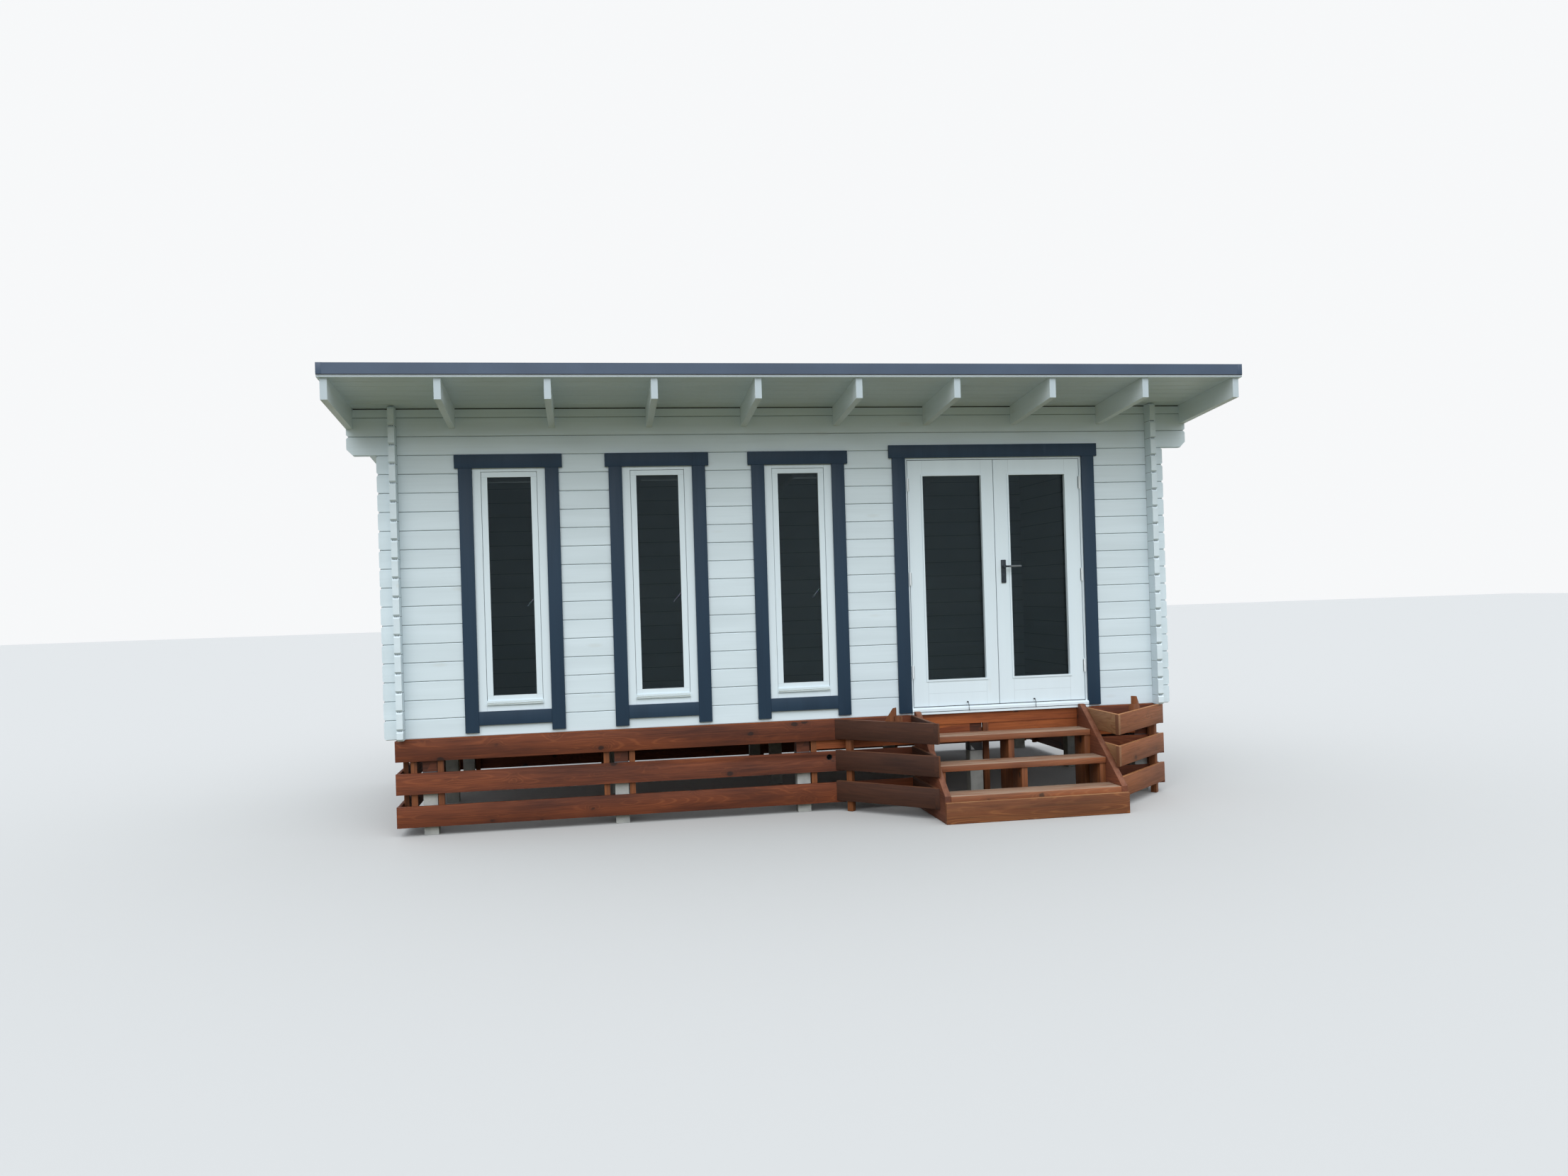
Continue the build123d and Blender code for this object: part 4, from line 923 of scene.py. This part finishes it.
finish_piece(join_pieces(frame_caps), "frame_hinge_caps", white_metal, "building")
print("hinge caps made")

# %% [markdown]
# Each window has hair lines where the bars of its frame and sash meet. The drip below the sash has three
# ridges with shaded grooves between them. Rods and thin bars are laid on the solid drip, because its
# small profile would need many faces.

# %% Lines and drips of the windows
frame_bar = 0.058
sash_bar = 0.045
frame_low, frame_top = 0.866, 2.626
ridge_radius = 0.0026
groove_half = 0.0013
groove_proud = 0.0006
frame_face = wall_front + 0.0003
sash_face = frame_face + 0.005
hole_low, hole_top = 0.942, 2.598
glass_low, glass_high = hole_low + 0.0363, hole_top - 0.039
window_holes = [(left + frame_bar, left + window_width - frame_bar) for left in window_lefts]
frame_lines = []
ridges = []
drip_grooves = []
for hole_left, hole_right in window_holes:
    for x in (hole_left - 0.0004, hole_right + 0.0004):
        for zs in ((frame_low, hole_low - 0.030), (hole_top, frame_top)):
            frame_lines.append(line_strip(around(x, 0.0006), frame_face, zs))
    for z in (glass_low - 0.0004, glass_high + 0.0004):
        for xs in ((hole_left + 0.004, hole_left + sash_bar), (hole_right - sash_bar, hole_right - 0.004)):
            frame_lines.append(line_strip(xs, sash_face, around(z, 0.0005)))
    for drop, reach in ((0.0205, 0.0125), (0.0285, 0.0125), (0.0120, 0.0085)):
        y, z = frame_face - reach, hole_low - drop
        ridges.append(add_rod((hole_left + 0.001, y, z), (hole_right - 0.001, y, z), ridge_radius, 12))
    for drop, reach in ((0.0245, 0.0140), (0.0163, 0.0140), (0.0094, 0.0063)):
        drip_grooves.append(add_block(
            (hole_left + 0.002, hole_right - 0.002), around(frame_face - reach, groove_proud),
            around(hole_low - drop, groove_half)))
finish_piece(join_pieces(frame_lines), "window_joint_lines", line_grey, "building")
finish_piece(join_pieces(ridges), "window_drip_ridges", joinery_paint, "building")
finish_piece(join_pieces(drip_grooves), "window_drip_grooves", drip_shadow, "building")
print("window lines and drips made")

# %% [markdown]
# A dark glazing seal runs round each pane, and a latch handle sits on the inside of each sash: a plate,
# a neck and a sloping arm.

# %% Seals and latches of the windows
sash_depth = 0.052
pane_front = sash_face + sash_depth - 0.024
seal_ys = (pane_front - 0.004, pane_front + 0.0003)
seal_lap = (-0.0005, 0.0025)
latch_y = sash_face + sash_depth
latch_z = 1.70
seals = []
latches = []
for hole_left, hole_right in window_holes:
    glass_left, glass_right = hole_left + sash_bar, hole_right - sash_bar
    for x, inward in ((glass_left, 1), (glass_right, -1)):
        seals.append(add_block(depths(x, inward, *seal_lap), seal_ys, (glass_low, glass_high)))
    for z, inward in ((glass_low, 1), (glass_high, -1)):
        seals.append(add_block((glass_left, glass_right), seal_ys, depths(z, inward, *seal_lap)))
    x = hole_right - 0.024
    arm_y = latch_y + 0.036
    latches += [
        add_block(around(x, 0.013), (latch_y, latch_y + 0.009), around(latch_z, 0.032), 0.003),
        add_rod((x, latch_y + 0.008, latch_z), (x, arm_y, latch_z), 0.008, 20),
        add_rod((x, arm_y, latch_z), (x - 0.072, arm_y, latch_z - 0.082), 0.0078, 20, 0.003)]
finish_piece(join_pieces(seals), "window_glazing_seals", seal_and_shade, "building")
finish_piece(join_pieces(latches), "window_latches", galvanised, "building")
print("seals and latches made")

# %% [markdown]
# Under the skirting's round vent hole a short dark tube leads back under the floor. Its near-black is
# painted shade that keeps the hole dark. It is a cylinder without ends, which Solidify gives a wall,
# and a disc that closes it at the back.

# %% Vent tube
skirt_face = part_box("skirting_front")[0].y
vent_x, vent_z, vent_radius = 0.220, 0.407, 0.022
bpy.ops.object.select_all(action="DESELECT")
bpy.ops.mesh.primitive_cylinder_add(
    radius=vent_radius - 0.0005, depth=0.08, vertices=40, end_fill_type="NOTHING",
    location=(vent_x, skirt_face + 0.048, vent_z), rotation=(math.radians(90), 0.0, 0.0))
tube = bpy.context.active_object
wall = tube.modifiers.new("wall", "SOLIDIFY")
wall.thickness = 0.002
wall.offset = -1.0
bpy.ops.object.modifier_apply(modifier=wall.name)
cap = add_rod(
    (vent_x, skirt_face + 0.080, vent_z), (vent_x, skirt_face + 0.088, vent_z), vent_radius, 40, 0.001)
finish_piece(join_pieces([tube, cap]), "vent_tube", seal_and_shade, "building")
print("vent tube made")

# %% [markdown]
# Thin dark lines of painted shade part the pieces at the threshold and at the roof's edge: the joint
# between the threshold's nose and the strip below it, the gap under the leaves, the shadow under the
# flashing, and a groove in the white strip.

# %% Lines at the threshold and the roof's edge
sill_low, sill_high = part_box("door_threshold")
sill_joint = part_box("floor_boards")[1].z
edge_low, edge_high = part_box("roof_edge_strips")
flash_low, flash_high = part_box("roof_flashings")
flash_height = 0.074
flash_foot = flash_high.z - flash_height
joint_line = add_block(
    (sill_low.x, sill_high.x), depths(sill_low.y, 1, -0.0006, 0.001), depths(sill_joint, 1, -0.0015, 0.0032),
    0.0004)
leaf_gap_line = add_block(
    (door_low.x, right_high.x), depths(wall_front, 1, -0.001, 0.006), depths(sill_high.z, 1, -0.001, 0.0042))
foot_line = add_block(
    (flash_low.x + 0.001, flash_high.x - 0.001), (edge_low.y - 0.0016, edge_low.y),
    (flash_foot - 0.0062, flash_foot - 0.0002))
groove = add_block(
    (edge_low.x, edge_high.x), depths(edge_low.y, 1, -0.0006, 0.0005),
    (flash_foot - 0.0152, flash_foot - 0.0108))
edge_lines = join_pieces([joint_line, leaf_gap_line, foot_line])
finish_piece(edge_lines, "edge_shadow_lines", seal_and_shade, "building")
finish_piece(groove, "edge_strip_groove", painted_shade_grey, "building")
print("edge lines made")

# %% [markdown]
# The flashing is closed at each end by a folded cover, a little proud of the long sheet. At this size a
# thin block with soft edges shows the fold as well as bent sheet would.

# %% Covers on the ends of the front and back flashings
cover_width = 0.036
cover_tops = ((flash_low.y, flash_high.z), (flash_high.y, flash_low.z + flash_height))
covers = []
for x in (flash_low.x, flash_high.x - cover_width):
    for y, top in cover_tops:
        covers.append(add_block(
            (x, x + cover_width), around(y, 0.0010), (top - flash_height - 0.0005, top + 0.0004), 0.0007))
finish_piece(join_pieces(covers), "flashing_end_covers", roof_steel, "building")
print(len(covers), "covers made")

# %% [markdown]
# A damp membrane is folded down round the foot of each timber block. One box with soft edges is copied
# to all stumps, because the real sheets differ too little to show.

# %% Membranes on the stumps
block_low, block_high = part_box("stump_blocks")
stump_half = 0.050
stump_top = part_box("stumps")[1].z
film = 0.0014


def stump_row(low, high, count):
    """The middles of a row of stumps between two outer faces."""
    return [low + stump_half + i * (high - low - 2 * stump_half) / (count - 1) for i in range(count)]


stump_xs = stump_row(block_low.x, block_high.x, 5)
stump_ys = stump_row(block_low.y, block_high.y, 3)
wrap = add_block(
    around(stump_xs[0], stump_half + film), around(stump_ys[0], stump_half + film),
    (stump_top - 0.003, stump_top + 0.058), 0.0012)
offsets = [(x - stump_xs[0], y - stump_ys[0], 0.0) for x in stump_xs for y in stump_ys]
finish_piece(repeat_at(wrap, offsets), "stump_membranes", membrane, "building")
print(len(offsets), "membranes made")


# %% [markdown]
# By the steps one corner of a membrane is turned over and shows its bright side. The flap is a thin
# block, cut off along its slanting fold.

# %% The turned corner of a membrane
def cut_away(piece, point, normal):
    """Cuts a piece along a plane, takes away the side that the normal points to, and closes the cut."""
    select_only(piece)
    bpy.ops.object.transform_apply(location=True, rotation=True, scale=True)
    bpy.ops.object.mode_set(mode="EDIT")
    bpy.ops.mesh.select_all(action="SELECT")
    bpy.ops.mesh.bisect(plane_co=point, plane_no=normal, use_fill=True, clear_outer=True)
    bpy.ops.object.mode_set(mode="OBJECT")


fold_x = stump_xs[3] - stump_half + 0.008
fold_y = stump_ys[0] - stump_half - film
fold_top = stump_top + 0.040
fold = add_block(
    (fold_x, fold_x + 0.030), (fold_y - 0.0012, fold_y - 0.0001), (stump_top + 0.004, fold_top))
cut_away(fold, (fold_x, fold_y, fold_top), (0.77, 0.0, 0.64))
round_edges(fold, 0.0004)
finish_piece(fold, "membrane_fold", bright_film, "building")
print("turned corner made")

# %% [markdown]
# The diagonal boards of the wings are cut square, so at the corner by the steps their end grain shows as
# a darker strip as wide as the board is thick. A block is cut along the board's end and its inner face.

# %% End grain at the wings' corners
for side, toward in (("left", 1), ("right", -1)):
    corner, direction = wings[f"{side}_wing"]
    inward = Vector((toward * abs(direction.y), abs(direction.x), 0.0))
    ends = []
    for foot in (0.310, 0.542):
        piece = add_block(
            depths(corner.x, toward, -0.0002, 0.030), depths(corner.y, 1, -0.002, 0.060),
            (foot + 0.001, foot + 0.149))
        cut_away(piece, corner, -direction)
        cut_away(piece, corner + inward * wing_board, inward)
        round_edges(piece, 0.0008)
        ends.append(piece)
    finish_piece(join_pieces(ends), f"{side}_wing_board_ends", end_grain, "building")
print("wing ends made")

# %% [markdown]
# The roof sheets are held by hexagonal screws with a washer, one on every rib over every batten. One
# screw is modelled with few faces, because it is repeated so often, tilted with the roof, and copied.

# %% Roof screws
sheet_low, sheet_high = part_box("roof_sheet")
rib_pitch = 0.250
battens = 7
batten_inset = 0.035
batten_gap = (sheet_high.y - sheet_low.y - 2 * batten_inset) / (battens - 1)
rib_xs = [i * rib_pitch for i in range(-12, 13)]
batten_ys = [sheet_low.y + batten_inset + i * batten_gap for i in range(battens)]
washer = add_rod((0, 0, -0.0004), (0, 0, 0.0016), 0.0095, 14)
head = add_rod((0, 0, 0.0012), (0, 0, 0.0065), 0.0052, 6, 0.0005)
screw = join_pieces([washer, head])
select_only(screw)
bpy.ops.transform.rotate(value=math.atan(roof_fall), orient_axis="X", center_override=(0.0, 0.0, 0.0))
bpy.ops.object.transform_apply(location=True, rotation=True, scale=True)
spots = [(x, y, sheet_high.z - (y - sheet_low.y) * roof_fall) for x in rib_xs for y in batten_ys]
finish_piece(repeat_at(screw, spots), "roof_screws", roof_steel, "building")
print("roof screws", len(spots))


# %% [markdown]
# The studio is a plain pale floor under a soft white sky, with one broad soft lamp high in front. As on
# an overcast day, more light comes from high up than from the sides. The camera, mirrors and glass see
# the floor pale, while the light that bounces up from it is weaker and a little green, as it is outdoors.

# %% Floor
def seen_rays(tree):
    """1 for what the camera, mirrors and glass see, and 0 for light that bounces."""
    rays = add_node(tree, "LightPath").outputs
    mirrored = math_node(tree, "MAXIMUM", rays["Is Glossy Ray"], rays["Is Transmission Ray"])
    return math_node(tree, "MAXIMUM", rays["Is Camera Ray"], mirrored)


bpy.ops.object.select_all(action="DESELECT")
bpy.ops.mesh.primitive_plane_add(size=120.0, location=(0.0, 0.0, -0.001))
studio_floor = bpy.context.active_object
studio_floor.name = "studio_floor"
floor_finish, tree, shader = new_material("studio_floor")
floor_tone = mix_color(tree, seen_rays(tree), color(100, 97, 66), color(192, 192, 190))
feed(tree, shader, {"Base Color": floor_tone, "Roughness": 0.9, "Specular IOR Level": 0.1})
studio_floor.data.materials.append(floor_finish)
print("floor made")

# %% Sky and lamp
low_sky = (0.36, 0.37, 0.38, 1.0)
high_sky = (1.24, 1.32, 1.43, 1.0)
top_sky = (1.02, 1.08, 1.15, 1.0)
seen_sky = (0.93, 0.94, 0.95, 1.0)
world = bpy.data.worlds.new("studio_sky")
bpy.context.scene.world = world
world.use_nodes = True
sky = world.node_tree
sky.nodes.clear()
upward = parts_of(sky, add_node(sky, "TexCoord").outputs["Generated"])[2]
overcast = mix_color(sky, remap(sky, upward, 0.04, 0.30), low_sky, high_sky)
overcast = mix_color(sky, remap(sky, upward, 0.55, 0.95), overcast, top_sky)
background = add_node(sky, "Background", {"Color": mix_color(sky, seen_rays(sky), overcast, seen_sky)})
add_node(sky, "OutputWorld", {0: background.outputs[0]})

sun = bpy.data.lights.new("soft_sun", "SUN")
sun.energy = 1.6
sun.angle = math.radians(60)
lamp = bpy.data.objects.new("soft_sun", sun)
lamp.rotation_euler = (math.radians(46), math.radians(-8), 0.0)
bpy.context.scene.collection.objects.link(lamp)
print("sky and lamp made")

# %% [markdown]
# The camera stands where the photograph was taken. Its place and turn were found by matching log
# seams, log ends, rafter corners and the steps. A focal length of 1651 pixels on a frame 2212 pixels
# wide is 26.9 mm on a sensor 36 mm wide.

# %% Camera
frame_pixels = 2212
focal_pixels = 1651
camera_place = (-1.537, -9.817, 1.675)
turn_right = math.radians(9.49)
tilt_up = math.radians(0.126)
lean = math.radians(-1.74)
lens = bpy.data.cameras.new("camera")
lens.sensor_width = 36.0
lens.lens = lens.sensor_width * focal_pixels / frame_pixels
lens.clip_end = 200.0
camera = bpy.data.objects.new("camera", lens)
bpy.context.scene.collection.objects.link(camera)
camera.matrix_world = (
    Matrix.Translation(camera_place)
    @ Matrix.Rotation(-turn_right, 4, "Z")
    @ Matrix.Rotation(math.radians(90) + tilt_up, 4, "X")
    @ Matrix.Rotation(lean, 4, "Z")
)
bpy.context.scene.camera = camera
bpy.context.scene.view_settings.view_transform = "Standard"
print("camera focal length", round(lens.lens, 1), "mm")
